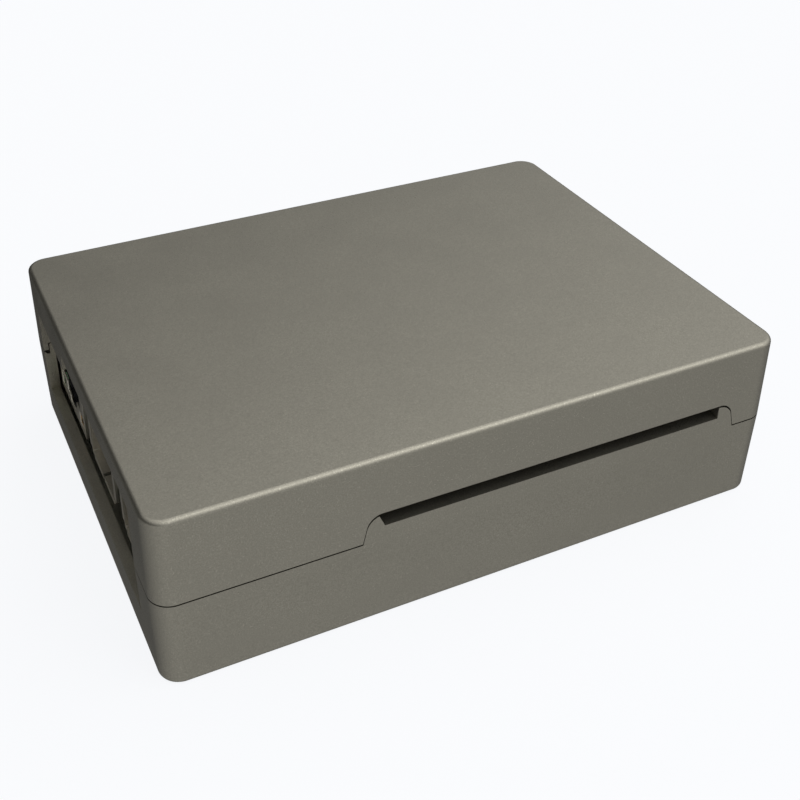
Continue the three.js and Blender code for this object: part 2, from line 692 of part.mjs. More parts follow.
/** The network socket's metal shield, folded round the moulding. */
function networkShield() {
  const back = SOCKET_FRONT + NETWORK_DEPTH;
  const half = NETWORK_WIDTH / 2;
  const box = block(
    [SOCKET_FRONT, NETWORK_CENTRE - half, SURFACE],
    [back, NETWORK_CENTRE + half, BOARD_TOP + NETWORK_HEIGHT],
  );
  const inside = block(
    [SOCKET_FRONT + SHEET, NETWORK_CENTRE - half + SHEET, 0],
    [back - SHEET, NETWORK_CENTRE + half - SHEET, BOARD_TOP + NETWORK_HEIGHT - SHEET],
  );
  return cut(box, [
    inside,
    plugSpace(SOCKET_FRONT - OVERCUT, SOCKET_FRONT + OVERCUT, 0),
    lampSpace(-1, SOCKET_FRONT - OVERCUT, SOCKET_FRONT + OVERCUT, 0),
    lampSpace(1, SOCKET_FRONT - OVERCUT, SOCKET_FRONT + OVERCUT, 0),
  ]);
}

/** The moulding inside the network socket, with the plug's cavity and room for two lamps. */
function networkInsert() {
  const front = SOCKET_FRONT + SHEET + FIT_GAP;
  const back = SOCKET_FRONT + NETWORK_DEPTH - SHEET - FIT_GAP;
  const half = NETWORK_WIDTH / 2 - SHEET - FIT_GAP;
  const body = block(
    [front, NETWORK_CENTRE - half, SURFACE],
    [back, NETWORK_CENTRE + half, BOARD_TOP + NETWORK_HEIGHT - SHEET - FIT_GAP],
  );
  const lampBack = SOCKET_FRONT + LAMP_DEPTH + FIT_GAP;
  return cut(body, [
    plugSpace(front - OVERCUT, SOCKET_FRONT + PLUG_DEPTH, FIT_GAP),
    lampSpace(-1, front - OVERCUT, lampBack, FIT_GAP),
    lampSpace(1, front - OVERCUT, lampBack, FIT_GAP),
  ]);
}

addPiece(boardGroup, "network_socket_shield", networkShield(), brightSteel);
addPiece(boardGroup, "network_socket_insert", networkInsert(), blackPlastic);
const LAMP_FRONT = SOCKET_FRONT + SHEET + FIT_GAP;
const LAMP_BACK = SOCKET_FRONT + LAMP_DEPTH;
const LAMPS = [
  ["network_link_lamp", 1, greenLamp],
  ["network_traffic_lamp", -1, amberLamp],
];
for (const [name, side, material] of LAMPS) {
  addPiece(boardGroup, name, lampSpace(side, LAMP_FRONT, LAMP_BACK, -LAMP_CLEARANCE), material);
}

// ---------------------------------------------------------------- pin header

/** The pin header: a strip with square pins standing in it. */
function pinHeader() {
  const y = -BOARD_WIDTH / 2 + HEADER_EDGE_INSET;
  const bodies = [
    slab(
      HEADER_CENTRE,
      y,
      PIN_COLUMNS * PIN_PITCH,
      PIN_ROWS * PIN_PITCH,
      SURFACE,
      BOARD_TOP + HEADER_BASE,
    ),
  ];
  for (let column = 0; column < PIN_COLUMNS; column++) {
    for (let row = 0; row < PIN_ROWS; row++) {
      const pinX = HEADER_CENTRE + (column - (PIN_COLUMNS - 1) / 2) * PIN_PITCH;
      const pinY = y + (row - (PIN_ROWS - 1) / 2) * PIN_PITCH;
      bodies.push(
        slab(pinX, pinY, PIN_SIZE, PIN_SIZE, BOARD_TOP + HEADER_BASE / 2, BOARD_TOP + PIN_TOP),
      );
    }
  }
  return joined(bodies);
}

addPiece(boardGroup, "pin_header", pinHeader(), goldPins);

// ---------------------------------------------------------------- sockets on the +Y edge

/** A flat socket's outline in X and Z, with its two lower corners cut off. */
function socketOutline({ x, width, height }, inset) {
  const half = width / 2 - inset;
  const low = SURFACE + inset;
  const high = SURFACE + height - inset;
  const cornerWidth = width * SOCKET_CORNER_WIDTH;
  const cornerHeight = height * SOCKET_CORNER_HEIGHT;
  return new THREE.Shape([
    new THREE.Vector2(x - half + cornerWidth, low),
    new THREE.Vector2(x + half - cornerWidth, low),
    new THREE.Vector2(x + half, low + cornerHeight),
    new THREE.Vector2(x + half, high),
    new THREE.Vector2(x - half, high),
    new THREE.Vector2(x - half, low + cornerHeight),
  ]);
}

/** The metal shell of a flat socket, open towards +Y. */
function flatSocketShell(socket) {
  const front = DISPLAY_EDGE + socket.proud;
  const back = front - socket.depth;
  const outside = drawnAlongY(socketOutline(socket, 0), back, front);
  const inside = drawnAlongY(socketOutline(socket, SHEET), back + SHEET, front + OVERCUT);
  return cut(outside, [inside]);
}

/** The moulding in a flat socket: a back wall and a tongue. */
function flatSocketTongue(socket, { width, thickness, middle }) {
  const front = DISPLAY_EDGE + socket.proud;
  const tip = front - TONGUE_TIP_SETBACK;
  const back = front - socket.depth + SHEET + FIT_GAP;
  const rearDepth = socket.depth * SOCKET_REAR_SHARE;
  const rear = drawnAlongY(socketOutline(socket, SHEET + FIT_GAP), back, back + rearDepth);
  const tongue = block(
    [socket.x - width / 2, back, SURFACE + middle - thickness / 2],
    [socket.x + width / 2, tip, SURFACE + middle + thickness / 2],
  );
  return joined([rear, tongue]);
}

/** The sound socket: a block with a round collar and a bore. */
function soundSocket() {
  const { x, width, height, depth } = SOUND_SOCKET;
  const front = DISPLAY_EDGE;
  const middle = SURFACE + height / 2;
  const body = block(
    [x - width / 2, front - depth, SURFACE],
    [x + width / 2, front, SURFACE + height],
  );
  const barrel = (radius, y0, y1) => {
    const geometry = new THREE.CylinderGeometry(radius, radius, y1 - y0, ROUND_STEPS);
    return solid(geometry.translate(x, (y0 + y1) / 2, middle));
  };
  const mouth = front + SOUND_COLLAR_LENGTH;
  const collar = barrel(SOUND_COLLAR_RADIUS, front - OVERCUT, mouth);
  const bore = barrel(SOUND_BORE_RADIUS, mouth - SOUND_BORE_DEPTH, mouth + OVERCUT);
  return cut(joined([body, collar]), [bore]);
}

addPiece(boardGroup, "display_socket_shell", flatSocketShell(DISPLAY_SOCKET), brightSteel);
addPiece(boardGroup, "display_socket_tongue", flatSocketTongue(DISPLAY_SOCKET, DISPLAY_TONGUE), blackPlastic);
addPiece(boardGroup, "power_socket_shell", flatSocketShell(POWER_SOCKET), brightSteel);
addPiece(boardGroup, "power_socket_tongue", flatSocketTongue(POWER_SOCKET, POWER_TONGUE), blackPlastic);
addPiece(boardGroup, "sound_socket", soundSocket(), blackPlastic);

// ---------------------------------------------------------------- ribbon connectors

/** The body of an upright ribbon connector, with the ribbon's slot in its top. */
function ribbonBody({ x, y }) {
  const { width, length, height } = RIBBON_BODY;
  const body = slab(x, y, width, length, SURFACE, SURFACE + height);
  const slot = slab(
    x,
    y,
    RIBBON_SLOT.width,
    RIBBON_SLOT.length,
    SURFACE + height - RIBBON_SLOT.depth,
    SURFACE + height + OVERCUT,
  );
  return cut(body, [slot]);
}

/** The latch that lifts off the top of a ribbon connector to free the ribbon. */
function ribbonLatch({ x, y }) {
  const bottom = SURFACE + RIBBON_BODY.height + SEAT_GAP;
  const { width, length, height, skirt, earWidth } = RIBBON_LATCH;
  const top = bottom + height;
  const bar = slab(x, y, width, length, bottom, top);
  const slot = slab(x, y, RIBBON_SLOT.width, RIBBON_SLOT.length, bottom - OVERCUT, top + OVERCUT);
  const ear = (length - RIBBON_BODY.length) / 2 - FIT_GAP;
  const ears = [-1, 1].map((side) =>
    slab(x, y + (side * (length - ear)) / 2, earWidth, ear, bottom - skirt, top),
  );
  return joined([cut(bar, [slot]), ...ears]);
}

addPiece(boardGroup, "camera_connector", ribbonBody(CAMERA_CONNECTOR), whitePlastic);
addPiece(boardGroup, "camera_latch", ribbonLatch(CAMERA_CONNECTOR), blackPlastic);
addPiece(boardGroup, "screen_connector", ribbonBody(SCREEN_CONNECTOR), whitePlastic);
addPiece(boardGroup, "screen_latch", ribbonLatch(SCREEN_CONNECTOR), blackPlastic);

// ---------------------------------------------------------------- memory card

/** The metal cage under the board that holds the memory card, open towards +X. */
function cardSocket() {
  const right = BOARD_CARD_END - CARD_SOCKET_SETBACK;
  const left = right - CARD_SOCKET_LENGTH;
  const low = UNDERSIDE - CARD_SOCKET_HEIGHT;
  const half = CARD_SOCKET_WIDTH / 2;
  const cage = block([left, -half, low], [right, half, UNDERSIDE]);
  const inside = block(
    [left + SHEET, -CARD_WIDTH / 2 - FIT_GAP, CARD_BOTTOM - FIT_GAP / 2],
    [right + OVERCUT, CARD_WIDTH / 2 + FIT_GAP, CARD_BOTTOM + CARD_THICKNESS + FIT_GAP],
  );
  return cut(cage, [inside]);
}

/** The memory card, with a step in one side and a narrower inner end. */
function memoryCard() {
  const inner = CARD_OUTER_END - CARD_LENGTH;
  const half = CARD_WIDTH / 2;
  const outline = new THREE.Shape([
    new THREE.Vector2(inner, -half + CARD_NARROWING),
    new THREE.Vector2(inner + CARD_NARROW_LENGTH, -half + CARD_NARROWING),
    new THREE.Vector2(inner + CARD_NARROW_LENGTH + CARD_STEP, -half),
    new THREE.Vector2(CARD_OUTER_END - CARD_CHAMFER, -half),
    new THREE.Vector2(CARD_OUTER_END, -half + CARD_CHAMFER),
    new THREE.Vector2(CARD_OUTER_END, half - CARD_CHAMFER),
    new THREE.Vector2(CARD_OUTER_END - CARD_CHAMFER, half),
    new THREE.Vector2(inner, half),
  ]);
  return solid(raised(outline, CARD_BOTTOM, CARD_BOTTOM + CARD_THICKNESS));
}

addPiece(boardGroup, "card_socket", cardSocket(), brightSteel);
addPiece(boardGroup, "memory_card", memoryCard(), chipPlastic);

export default computer;
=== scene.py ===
"""A single board computer in its two-part aluminium case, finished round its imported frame.

Sizes in the classes are in millimetres, as on a maker's drawing; the modelling bench turns them
into metres. +Z is up, the socket end faces -X and the ribbon slot faces -Y.
"""

import logging
import math
from abc import ABC, abstractmethod
from collections.abc import Callable, Iterator
from contextlib import contextmanager
from dataclasses import dataclass, field
from enum import Enum

import bmesh
import bpy
from mathutils import Matrix, Vector


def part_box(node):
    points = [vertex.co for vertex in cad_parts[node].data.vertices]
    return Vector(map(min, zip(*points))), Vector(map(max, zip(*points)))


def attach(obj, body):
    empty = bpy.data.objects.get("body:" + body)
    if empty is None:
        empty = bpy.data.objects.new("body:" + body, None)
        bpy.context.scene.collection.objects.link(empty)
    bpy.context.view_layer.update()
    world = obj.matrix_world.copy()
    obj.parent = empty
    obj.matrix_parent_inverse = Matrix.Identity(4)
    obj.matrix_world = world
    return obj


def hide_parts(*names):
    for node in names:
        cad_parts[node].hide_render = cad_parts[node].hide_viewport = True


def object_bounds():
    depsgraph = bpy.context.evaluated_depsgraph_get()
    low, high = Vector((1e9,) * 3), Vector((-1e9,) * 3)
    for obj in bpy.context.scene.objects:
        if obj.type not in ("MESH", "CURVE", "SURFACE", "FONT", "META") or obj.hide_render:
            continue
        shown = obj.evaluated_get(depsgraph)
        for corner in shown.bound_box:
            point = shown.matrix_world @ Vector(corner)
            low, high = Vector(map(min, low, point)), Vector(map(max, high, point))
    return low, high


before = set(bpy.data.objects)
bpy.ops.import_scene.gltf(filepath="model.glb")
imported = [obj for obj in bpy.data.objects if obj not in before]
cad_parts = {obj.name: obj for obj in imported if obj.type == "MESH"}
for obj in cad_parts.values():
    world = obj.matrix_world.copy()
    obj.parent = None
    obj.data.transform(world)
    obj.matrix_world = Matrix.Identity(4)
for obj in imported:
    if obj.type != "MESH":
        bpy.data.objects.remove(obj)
CAD_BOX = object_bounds()

MM = 0.001
TINY = 0.01
LOG = logging.getLogger("single_board_computer")

Triple = tuple[float, float, float]
Colour = tuple[float, float, float]
FaceTest = Callable[[Vector, Vector], bool]
EdgeTest = Callable[[Vector, Vector], bool]


def node_box(node: str) -> tuple[Vector, Vector]:
    """A frame node's lowest and highest corners, in millimetres.

    Args:
        node: The node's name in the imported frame.

    Returns:
        The lowest and the highest corner.
    """
    low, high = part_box(node)
    return low / MM, high / MM


# ------------------------------------------------------------------ the modelling bench


class Axis(Enum):
    """The way a round primitive points."""

    X = (0.0, math.pi / 2, 0.0)
    Y = (math.pi / 2, 0.0, 0.0)
    Z = (0.0, 0.0, 0.0)


class Pick(Enum):
    """What a step in edit mode selects."""

    FACE = "FACE"
    EDGE = "EDGE"


def deselect_all() -> None:
    """Leaves nothing selected, so that the next operator acts on one piece alone."""
    for item in bpy.context.selected_objects:
        item.select_set(False)


class Workpiece:
    """One piece on the bench: a mesh object shaped by the editor's own operators."""

    def __init__(self, item: bpy.types.Object) -> None:
        """Takes hold of an object.

        Args:
            item: The mesh object to work on.
        """
        self.item = item

    # -------------------------------------------------------------- starting shapes

    @classmethod
    def _adopt(cls, name: str) -> "Workpiece":
        """Names the primitive just added and lays its place down in its mesh."""
        item = bpy.context.active_object
        item.name = name
        item.data.name = name
        bpy.ops.object.transform_apply(location=True, rotation=True, scale=True)
        return cls(item)

    @classmethod
    def block(cls, name: str, low: Triple, high: Triple) -> "Workpiece":
        """A block between two corners.

        Args:
            name: The piece's name.
            low: Its lowest corner in millimetres.
            high: Its highest corner in millimetres.

        Returns:
            The new piece.
        """
        deselect_all()
        start, end = Vector(low) * MM, Vector(high) * MM
        bpy.ops.mesh.primitive_cube_add(size=1, location=(start + end) / 2, scale=end - start)
        return cls._adopt(name)

    @classmethod
    def slab(cls, name: str, centre: tuple[float, float], size: tuple[float, float],
             heights: tuple[float, float]) -> "Workpiece":
        """A block centred on a place in plan, between two heights.

        Args:
            name: The piece's name.
            centre: Its middle in X and Y.
            size: Its size along X and Y.
            heights: Its lowest and highest Z.

        Returns:
            The new piece.
        """
        (x, y), (width, depth) = centre, size
        low = (x - width / 2, y - depth / 2, heights[0])
        high = (x + width / 2, y + depth / 2, heights[1])
        return cls.block(name, low, high)

    @classmethod
    def rod(cls, name: str, start: Triple, radius: float, length: float, axis: Axis = Axis.Z,
            sides: int = 32, end_radius: float | None = None) -> "Workpiece":
        """A round bar, or a cone if its ends differ, drawn from a start along an axis.

        Args:
            name: The piece's name.
            start: The middle of its first end.
            radius: Its radius at the first end.
            length: How far it runs towards plus on its axis.
            axis: The axis that it runs along.
            sides: The number of facets round it.
            end_radius: Its radius at the far end, if that differs.

        Returns:
            The new piece.
        """
        deselect_all()
        along = {Axis.X: Vector((1, 0, 0)), Axis.Y: Vector((0, 1, 0)), Axis.Z: Vector((0, 0, 1))}[axis]
        middle = (Vector(start) + along * length / 2) * MM
        far = radius if end_radius is None else end_radius
        first, last = (far, radius) if axis is Axis.Y else (radius, far)
        bpy.ops.mesh.primitive_cone_add(vertices=sides, radius1=first * MM, radius2=last * MM,
                                        depth=length * MM, location=middle, rotation=axis.value)
        return cls._adopt(name)

    # -------------------------------------------------------------- edit mode

    @contextmanager
    def editing(self, pick: Pick) -> Iterator[None]:
        """Opens the piece in edit mode with nothing selected.

        Args:
            pick: What the steps inside select.
        """
        self.activate()
        bpy.ops.object.mode_set(mode="EDIT")
        bpy.ops.mesh.select_mode(type=pick.value)
        bpy.ops.mesh.select_all(action="DESELECT")
        yield
        bpy.ops.object.mode_set(mode="OBJECT")

    def activate(self) -> None:
        """Makes this the only selected object and the active one."""
        deselect_all()
        self.item.select_set(True)
        bpy.context.view_layer.objects.active = self.item

    def _select_faces(self, test: FaceTest) -> None:
        """Selects the faces that a test on middle (mm) and normal accepts."""
        mesh = bmesh.from_edit_mesh(self.item.data)
        for face in mesh.faces:
            face.select_set(test(face.calc_center_median() / MM, face.normal))
        bmesh.update_edit_mesh(self.item.data)

    def _select_edges(self, test: EdgeTest) -> None:
        """Selects the edges that a test on their two ends (mm) accepts."""
        mesh = bmesh.from_edit_mesh(self.item.data)
        for edge in mesh.edges:
            edge.select_set(test(edge.verts[0].co / MM, edge.verts[1].co / MM))
        bmesh.update_edit_mesh(self.item.data)

    def bevel(self, test: EdgeTest, width: float, segments: int = 1) -> "Workpiece":
        """Rounds or chamfers some edges.

        Args:
            test: Says which edges, from their two ends.
            width: How far the bevel reaches on each side.
            segments: The number of facets; one makes a chamfer.

        Returns:
            This piece.
        """
        with self.editing(Pick.EDGE):
            self._select_edges(test)
            bpy.ops.mesh.bevel(offset=width * MM, segments=segments, affect="EDGES")
        return self

    def inset(self, test: FaceTest, thickness: float, depth: float = 0.0) -> "Workpiece":
        """Insets some faces, and sinks or raises what is inside.

        Args:
            test: Says which faces, from their middle and normal.
            thickness: The width of the border left.
            depth: How far the inside moves along its normal.

        Returns:
            This piece.
        """
        with self.editing(Pick.FACE):
            self._select_faces(test)
            bpy.ops.mesh.inset(thickness=thickness * MM, depth=depth * MM)
        return self

    def extrude(self, test: FaceTest, move: Triple, taper: float = 1.0) -> "Workpiece":
        """Extrudes some faces, and can draw their far end in.

        Args:
            test: Says which faces, from their middle and normal.
            move: How far the new faces move.
            taper: The size of the far end beside the near one.

        Returns:
            This piece.
        """
        with self.editing(Pick.FACE):
            self._select_faces(test)
            shift = Vector(move) * MM
            bpy.ops.mesh.extrude_region_move(TRANSFORM_OT_translate={"value": shift})
            if taper != 1.0:
                self._resize_selected((taper, taper, taper))
        return self

    def _resize_selected(self, factor: Triple) -> None:
        """Scales what is selected about its own middle."""
        mesh = bmesh.from_edit_mesh(self.item.data)
        chosen = [vert.co for vert in mesh.verts if vert.select]
        middle = sum(chosen, Vector()) / len(chosen)
        bpy.ops.transform.resize(value=factor, center_override=middle)

    def resize(self, test: FaceTest, factor: Triple) -> "Workpiece":
        """Scales some faces about their own middle.

        Args:
            test: Says which faces, from their middle and normal.
            factor: The scale along X, Y and Z.

        Returns:
            This piece.
        """
        with self.editing(Pick.FACE):
            self._select_faces(test)
            self._resize_selected(factor)
        return self

    def keep(self, height: float, above: bool) -> "Workpiece":
        """Bisects the piece at a height and keeps one side, closed.

        Args:
            height: The height of the cut.
            above: True keeps what lies above it.

        Returns:
            This piece.
        """
        with self.editing(Pick.FACE):
            bpy.ops.mesh.select_all(action="SELECT")
            bpy.ops.mesh.bisect(plane_co=(0, 0, height * MM), plane_no=(0, 0, 1), use_fill=True,
                                clear_inner=above, clear_outer=not above)
        return self

    # -------------------------------------------------------------- whole pieces

    def _apply(self, kind: str, **settings: object) -> "Workpiece":
        """Adds a modifier with its settings and applies it."""
        self.activate()
        modifier = self.item.modifiers.new(kind.lower(), kind)
        for name, value in settings.items():
            setattr(modifier, name, value)
        bpy.ops.object.modifier_apply(modifier=modifier.name)
        return self

    def _combine(self, tools: tuple["Workpiece", ...], operation: str) -> "Workpiece":
        """Joins or cuts with other pieces, which are used up."""
        for tool in tools:
            self._apply("BOOLEAN", object=tool.item, operation=operation, solver="EXACT")
            bpy.data.objects.remove(tool.item)
        return self

    def cut(self, *tools: "Workpiece") -> "Workpiece":
        """Takes other pieces away from this one, which uses them up."""
        return self._combine(tools, "DIFFERENCE")

    def join(self, *tools: "Workpiece") -> "Workpiece":
        """Joins other pieces to this one as one closed body, which uses them up."""
        return self._combine(tools, "UNION")

    def gather(self, others: list["Workpiece"]) -> "Workpiece":
        """Takes other pieces into this one's object, each staying a closed body of its own."""
        self.activate()
        for other in others:
            other.item.select_set(True)
        bpy.ops.object.join()
        return self

    def soften(self, width: float, segments: int = 2, angle: float = 40.0) -> "Workpiece":
        """Breaks every sharp edge and shades the piece smooth between them.

        Args:
            width: The width of the broken edge.
            segments: The number of facets across it.
            angle: Edges sharper than this many degrees are broken.

        Returns:
            This piece.
        """
        self._apply("BEVEL", width=width * MM, segments=segments, limit_method="ANGLE",
                    angle_limit=math.radians(angle), use_clamp_overlap=True)
        return self.smooth()

    def smooth(self, angle: float = 40.0) -> "Workpiece":
        """Shades smooth up to an angle in degrees, and keeps the flat faces flat."""
        self.activate()
        bpy.ops.object.shade_smooth_by_angle(angle=math.radians(angle))
        return self._apply("WEIGHTED_NORMAL", keep_sharp=True, weight=100)

    def copy(self, name: str, move: Triple) -> "Workpiece":
        """Copies the piece with a mesh of its own, moved.

        Args:
            name: The copy's name.
            move: How far it is moved.

        Returns:
            The copy.
        """
        self.activate()
        bpy.ops.object.duplicate(linked=False)
        twin = bpy.context.active_object
        twin.name = name
        twin.data.name = name
        twin.location = Vector(move) * MM
        bpy.ops.object.transform_apply(location=True, rotation=False, scale=False)
        return Workpiece(twin)

    def turn(self, degrees: float, axis: str, centre: Triple) -> "Workpiece":
        """Turns the piece about a line through a place, counter-clockwise.

        Args:
            degrees: The angle.
            axis: X, Y or Z.
            centre: A place on the line.

        Returns:
            This piece.
        """
        pivot = Matrix.Translation(Vector(centre) * MM)
        spin = Matrix.Rotation(math.radians(degrees), 4, axis)
        self.item.matrix_world = pivot @ spin @ pivot.inverted()
        self.activate()
        bpy.ops.object.transform_apply(location=True, rotation=True, scale=True)
        return self

    def dress(self, finish: "Finish", body: str, replaces: tuple[str, ...] = ()) -> "Workpiece":
        """Gives the finished piece its finish and ties it to the frame.

        Args:
            finish: The finish, which also names the record's slot.
            body: The body that the piece rides on.
            replaces: The frame nodes that it stands for.

        Returns:
            This piece.
        """
        self.item.data.materials.clear()
        self.item.data.materials.append(finish.material())
        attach(self.item, body)
        if replaces:
            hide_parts(*replaces)
        LOG.info("%s: %d faces, rides on %s", self.item.name, len(self.item.data.polygons), body)
        return self


def upright(a: Vector, b: Vector) -> bool:
    """True for an edge that stands upright."""
    return abs(a.x - b.x) < TINY and abs(a.y - b.y) < TINY


def at_height(height: float) -> EdgeTest:
    """A test for edges that lie at one height.

    Args:
        height: The height.

    Returns:
        The test.
    """
    return lambda a, b: abs(a.z - height) < TINY and abs(b.z - height) < TINY


def facing(direction: Triple) -> FaceTest:
    """A test for faces that look one way.

    Args:
        direction: The way they look.

    Returns:
        The test.
    """
    way = Vector(direction)
    return lambda middle, normal: normal.dot(way) > 0.9


# ------------------------------------------------------------------ materials


class Value:
    """A number in a material. Arithmetic on it adds the Math nodes that work it out."""

    def __init__(self, recipe: "Recipe", socket: bpy.types.NodeSocket) -> None:
        """Wraps a socket.

        Args:
            recipe: The material that it belongs to.
            socket: The socket that gives the number.
        """
        self.recipe = recipe
        self.socket = socket

    def _math(self, operation: str, *terms: "Value | float") -> "Value":
        """Adds one Math node on some terms."""
        node = self.recipe.node("ShaderNodeMath", {"operation": operation}, dict(enumerate(terms)))
        return Value(self.recipe, node.outputs[0])

    def __add__(self, other: "Value | float") -> "Value":
        """Adds."""
        return self._math("ADD", self, other)

    __radd__ = __add__

    def __mul__(self, other: "Value | float") -> "Value":
        """Multiplies."""
        return self._math("MULTIPLY", self, other)

    __rmul__ = __mul__

    def __sub__(self, other: "Value | float") -> "Value":
        """Subtracts."""
        return self._math("SUBTRACT", self, other)

    def __rsub__(self, other: "Value | float") -> "Value":
        """Subtracts this from a number."""
        return self._math("SUBTRACT", other, self)

    def __gt__(self, other: "Value | float") -> "Value":
        """One where this is greater, else zero."""
        return self._math("GREATER_THAN", self, other)

    def __lt__(self, other: "Value | float") -> "Value":
        """One where this is less, else zero."""
        return self._math("LESS_THAN", self, other)

    def __abs__(self) -> "Value":
        """Drops the sign."""
        return self._math("ABSOLUTE", self)

    def fraction(self) -> "Value":
        """The part after the decimal point, for patterns that repeat."""
        return self._math("FRACT", self)

    def clamped(self) -> "Value":
        """Keeps between zero and one."""
        return self._math("MAXIMUM", self._math("MINIMUM", self, 1.0), 0.0)


Input = Value | bpy.types.NodeSocket | float | tuple[float, ...]


class Recipe:
    """A material while it is being mixed. Patterns read the piece's own coordinates."""

    def __init__(self, name: str) -> None:
        """Starts an empty material.

        Args:
            name: The material's name.
        """
        self.material = bpy.data.materials.new(name)
        self.material.use_nodes = True
        self.material.node_tree.nodes.clear()
        self.place = self.node("ShaderNodeTexCoord").outputs["Object"]

    def node(self, kind: str, settings: dict[str, object] | None = None,
             inputs: dict[str | int, Input] | None = None) -> bpy.types.Node:
        """Adds a node.

        Args:
            kind: The node's type.
            settings: Its own settings, set first.
            inputs: The values or links of its sockets.

        Returns:
            The node.
        """
        node = self.material.node_tree.nodes.new(kind)
        for name, value in (settings or {}).items():
            setattr(node, name, value)
        for name, value in (inputs or {}).items():
            source = value.socket if isinstance(value, Value) else value
            if isinstance(source, bpy.types.NodeSocket):
                self.material.node_tree.links.new(source, node.inputs[name])
            else:
                node.inputs[name].default_value = source
        return node

    def stretched(self, factors: Triple, turn: float = 0.0) -> bpy.types.NodeSocket:
        """The piece's coordinates scaled along each axis and turned about Z.

        Args:
            factors: The scale along X, Y and Z.
            turn: The turn in degrees.

        Returns:
            The coordinates.
        """
        rotation = (0.0, 0.0, math.radians(turn))
        return self.node("ShaderNodeMapping", None, {
            "Vector": self.place, "Scale": factors, "Rotation": rotation}).outputs["Vector"]

    def noise(self, size: float, detail: float = 2.0, roughness: float = 0.5,
              place: bpy.types.NodeSocket | None = None) -> Value:
        """Noise with features of about one size.

        Args:
            size: The size in millimetres.
            detail: The number of finer layers.
            roughness: How strong the finer layers are.
            place: Other coordinates to read.

        Returns:
            The noise, about a half.
        """
        node = self.node("ShaderNodeTexNoise", None, {
            "Vector": place or self.place, "Scale": 1 / (size * MM), "Detail": detail,
            "Roughness": roughness})
        return Value(self, node.outputs[0])

    def cells(self, size: float, output: str = "Distance",
              place: bpy.types.NodeSocket | None = None) -> Value:
        """Random cells of about one size.

        Args:
            size: The size in millimetres.
            output: Distance from each cell's middle, or Color for a random number in each.
            place: Other coordinates to read.

        Returns:
            The number.
        """
        node = self.node("ShaderNodeTexVoronoi", None, {
            "Vector": place or self.place, "Scale": 1 / (size * MM)})
        return Value(self, node.outputs[output])

    def axes(self) -> tuple[Value, Value, Value]:
        """The piece's coordinates as three numbers, in millimetres."""
        node = self.node("ShaderNodeSeparateXYZ", None, {0: self.place})
        x, y, z = (Value(self, socket) * (1 / MM) for socket in node.outputs)
        return x, y, z

    def ramp(self, value: Value, low: float, high: float) -> Value:
        """Stretches a number so that low becomes zero and high becomes one."""
        node = self.node("ShaderNodeMapRange", None, {0: value, 1: low, 2: high})
        return Value(self, node.outputs[0])

    def mix(self, factor: Input, first: Input, second: Input) -> bpy.types.NodeSocket:
        """Mixes two colours.

        Args:
            factor: How much of the second.
            first: A colour.
            second: Another.

        Returns:
            The colour.
        """
        colours = [(*c, 1.0) if isinstance(c, tuple) else c for c in (first, second)]
        node = self.node("ShaderNodeMix", {"data_type": "RGBA"}, {
            0: factor, 6: colours[0], 7: colours[1]})
        return node.outputs[2]

    def bump(self, height: Value, depth: float, normal: bpy.types.NodeSocket | None = None,
             strength: float = 1.0) -> bpy.types.NodeSocket:
        """Relief from a height.

        Args:
            height: The height, from zero to one.
            depth: How deep one is, in millimetres.
            normal: Relief to lay it over.
            strength: How much of it shows.

        Returns:
            The normal.
        """
        inputs: dict[str | int, Input] = {"Height": height, "Distance": depth * MM, "Strength": strength}
        if normal is not None:
            inputs["Normal"] = normal
        return self.node("ShaderNodeBump", None, inputs).outputs["Normal"]

    def surface(self, inputs: dict[str | int, Input]) -> bpy.types.Material:
        """Ends the material in one surface shader.

        Args:
            inputs: The shader's sockets.

        Returns:
            The material.
        """
        filled = {name: (*value, 1.0) if isinstance(value, tuple) and len(value) == 3 else value
                  for name, value in inputs.items()}
        shader = self.node("ShaderNodeBsdfPrincipled", None, filled)
        self.node("ShaderNodeOutputMaterial", None, {"Surface": shader.outputs["BSDF"]})
        return self.material


def shade(colour: Colour, factor: float) -> Colour:
    """A colour made lighter or darker."""
    red, green, blue = (min(1.0, part * factor) for part in colour)
    return red, green, blue


_mixed: dict[object, bpy.types.Material] = {}


@dataclass(frozen=True)
class Finish(ABC):
    """A finish: its name, the name of its slot, and its colour."""

    name: str
    slot: str
    colour: Colour

    def material(self) -> bpy.types.Material:
        """The material, mixed the first time that it is asked for."""
        if self not in _mixed:
            _mixed[self] = self.mixed(Recipe(self.name))
        return _mixed[self]

    @abstractmethod
    def mixed(self, recipe: Recipe) -> bpy.types.Material:
        """Mixes the material."""


@dataclass(frozen=True)
class BlastedMetal(Finish):
    """Bead-blasted, anodised aluminium: matt, with fine smoother specks; its colour has painted shade in
    the blast pits and painted glints on the specks.
    """

    grain: float = 0.2
    depth: float = 0.007
    roughness: float = 0.39

    def mixed(self, recipe: Recipe) -> bpy.types.Material:
        """Mixes the material.

        Args:
            recipe: The empty material.

        Returns:
            The material.
        """
        grain = recipe.noise(self.grain, 3.0, 0.65)
        clouds = recipe.noise(9.0, 2.0)
        smooth_specks_and_painted_glint = recipe.ramp(recipe.noise(self.grain * 0.8, 1.0, 0.5), 0.60, 0.72).clamped()
        tone = recipe.mix(clouds, shade(self.colour, 0.93), shade(self.colour, 1.07))
        # Painted shade: the colour is darker where the grain's bump sinks into pits.
        tone_with_painted_pit_shade = recipe.mix(recipe.ramp(grain, 0.35, 0.65).clamped(), shade(self.colour, 0.8), tone)
        # Painted glints: the colour is lighter on the smoother specks, besides their lower roughness.
        colour = recipe.mix(smooth_specks_and_painted_glint * 0.35, tone_with_painted_pit_shade, shade(self.colour, 1.6))
        return recipe.surface({
            "Base Color": colour,
            "Metallic": 0.93,
            "Roughness": self.roughness + (clouds - 0.5) * 0.08 - smooth_specks_and_painted_glint * 0.12,
            "Normal": recipe.bump(grain, self.depth),
        })


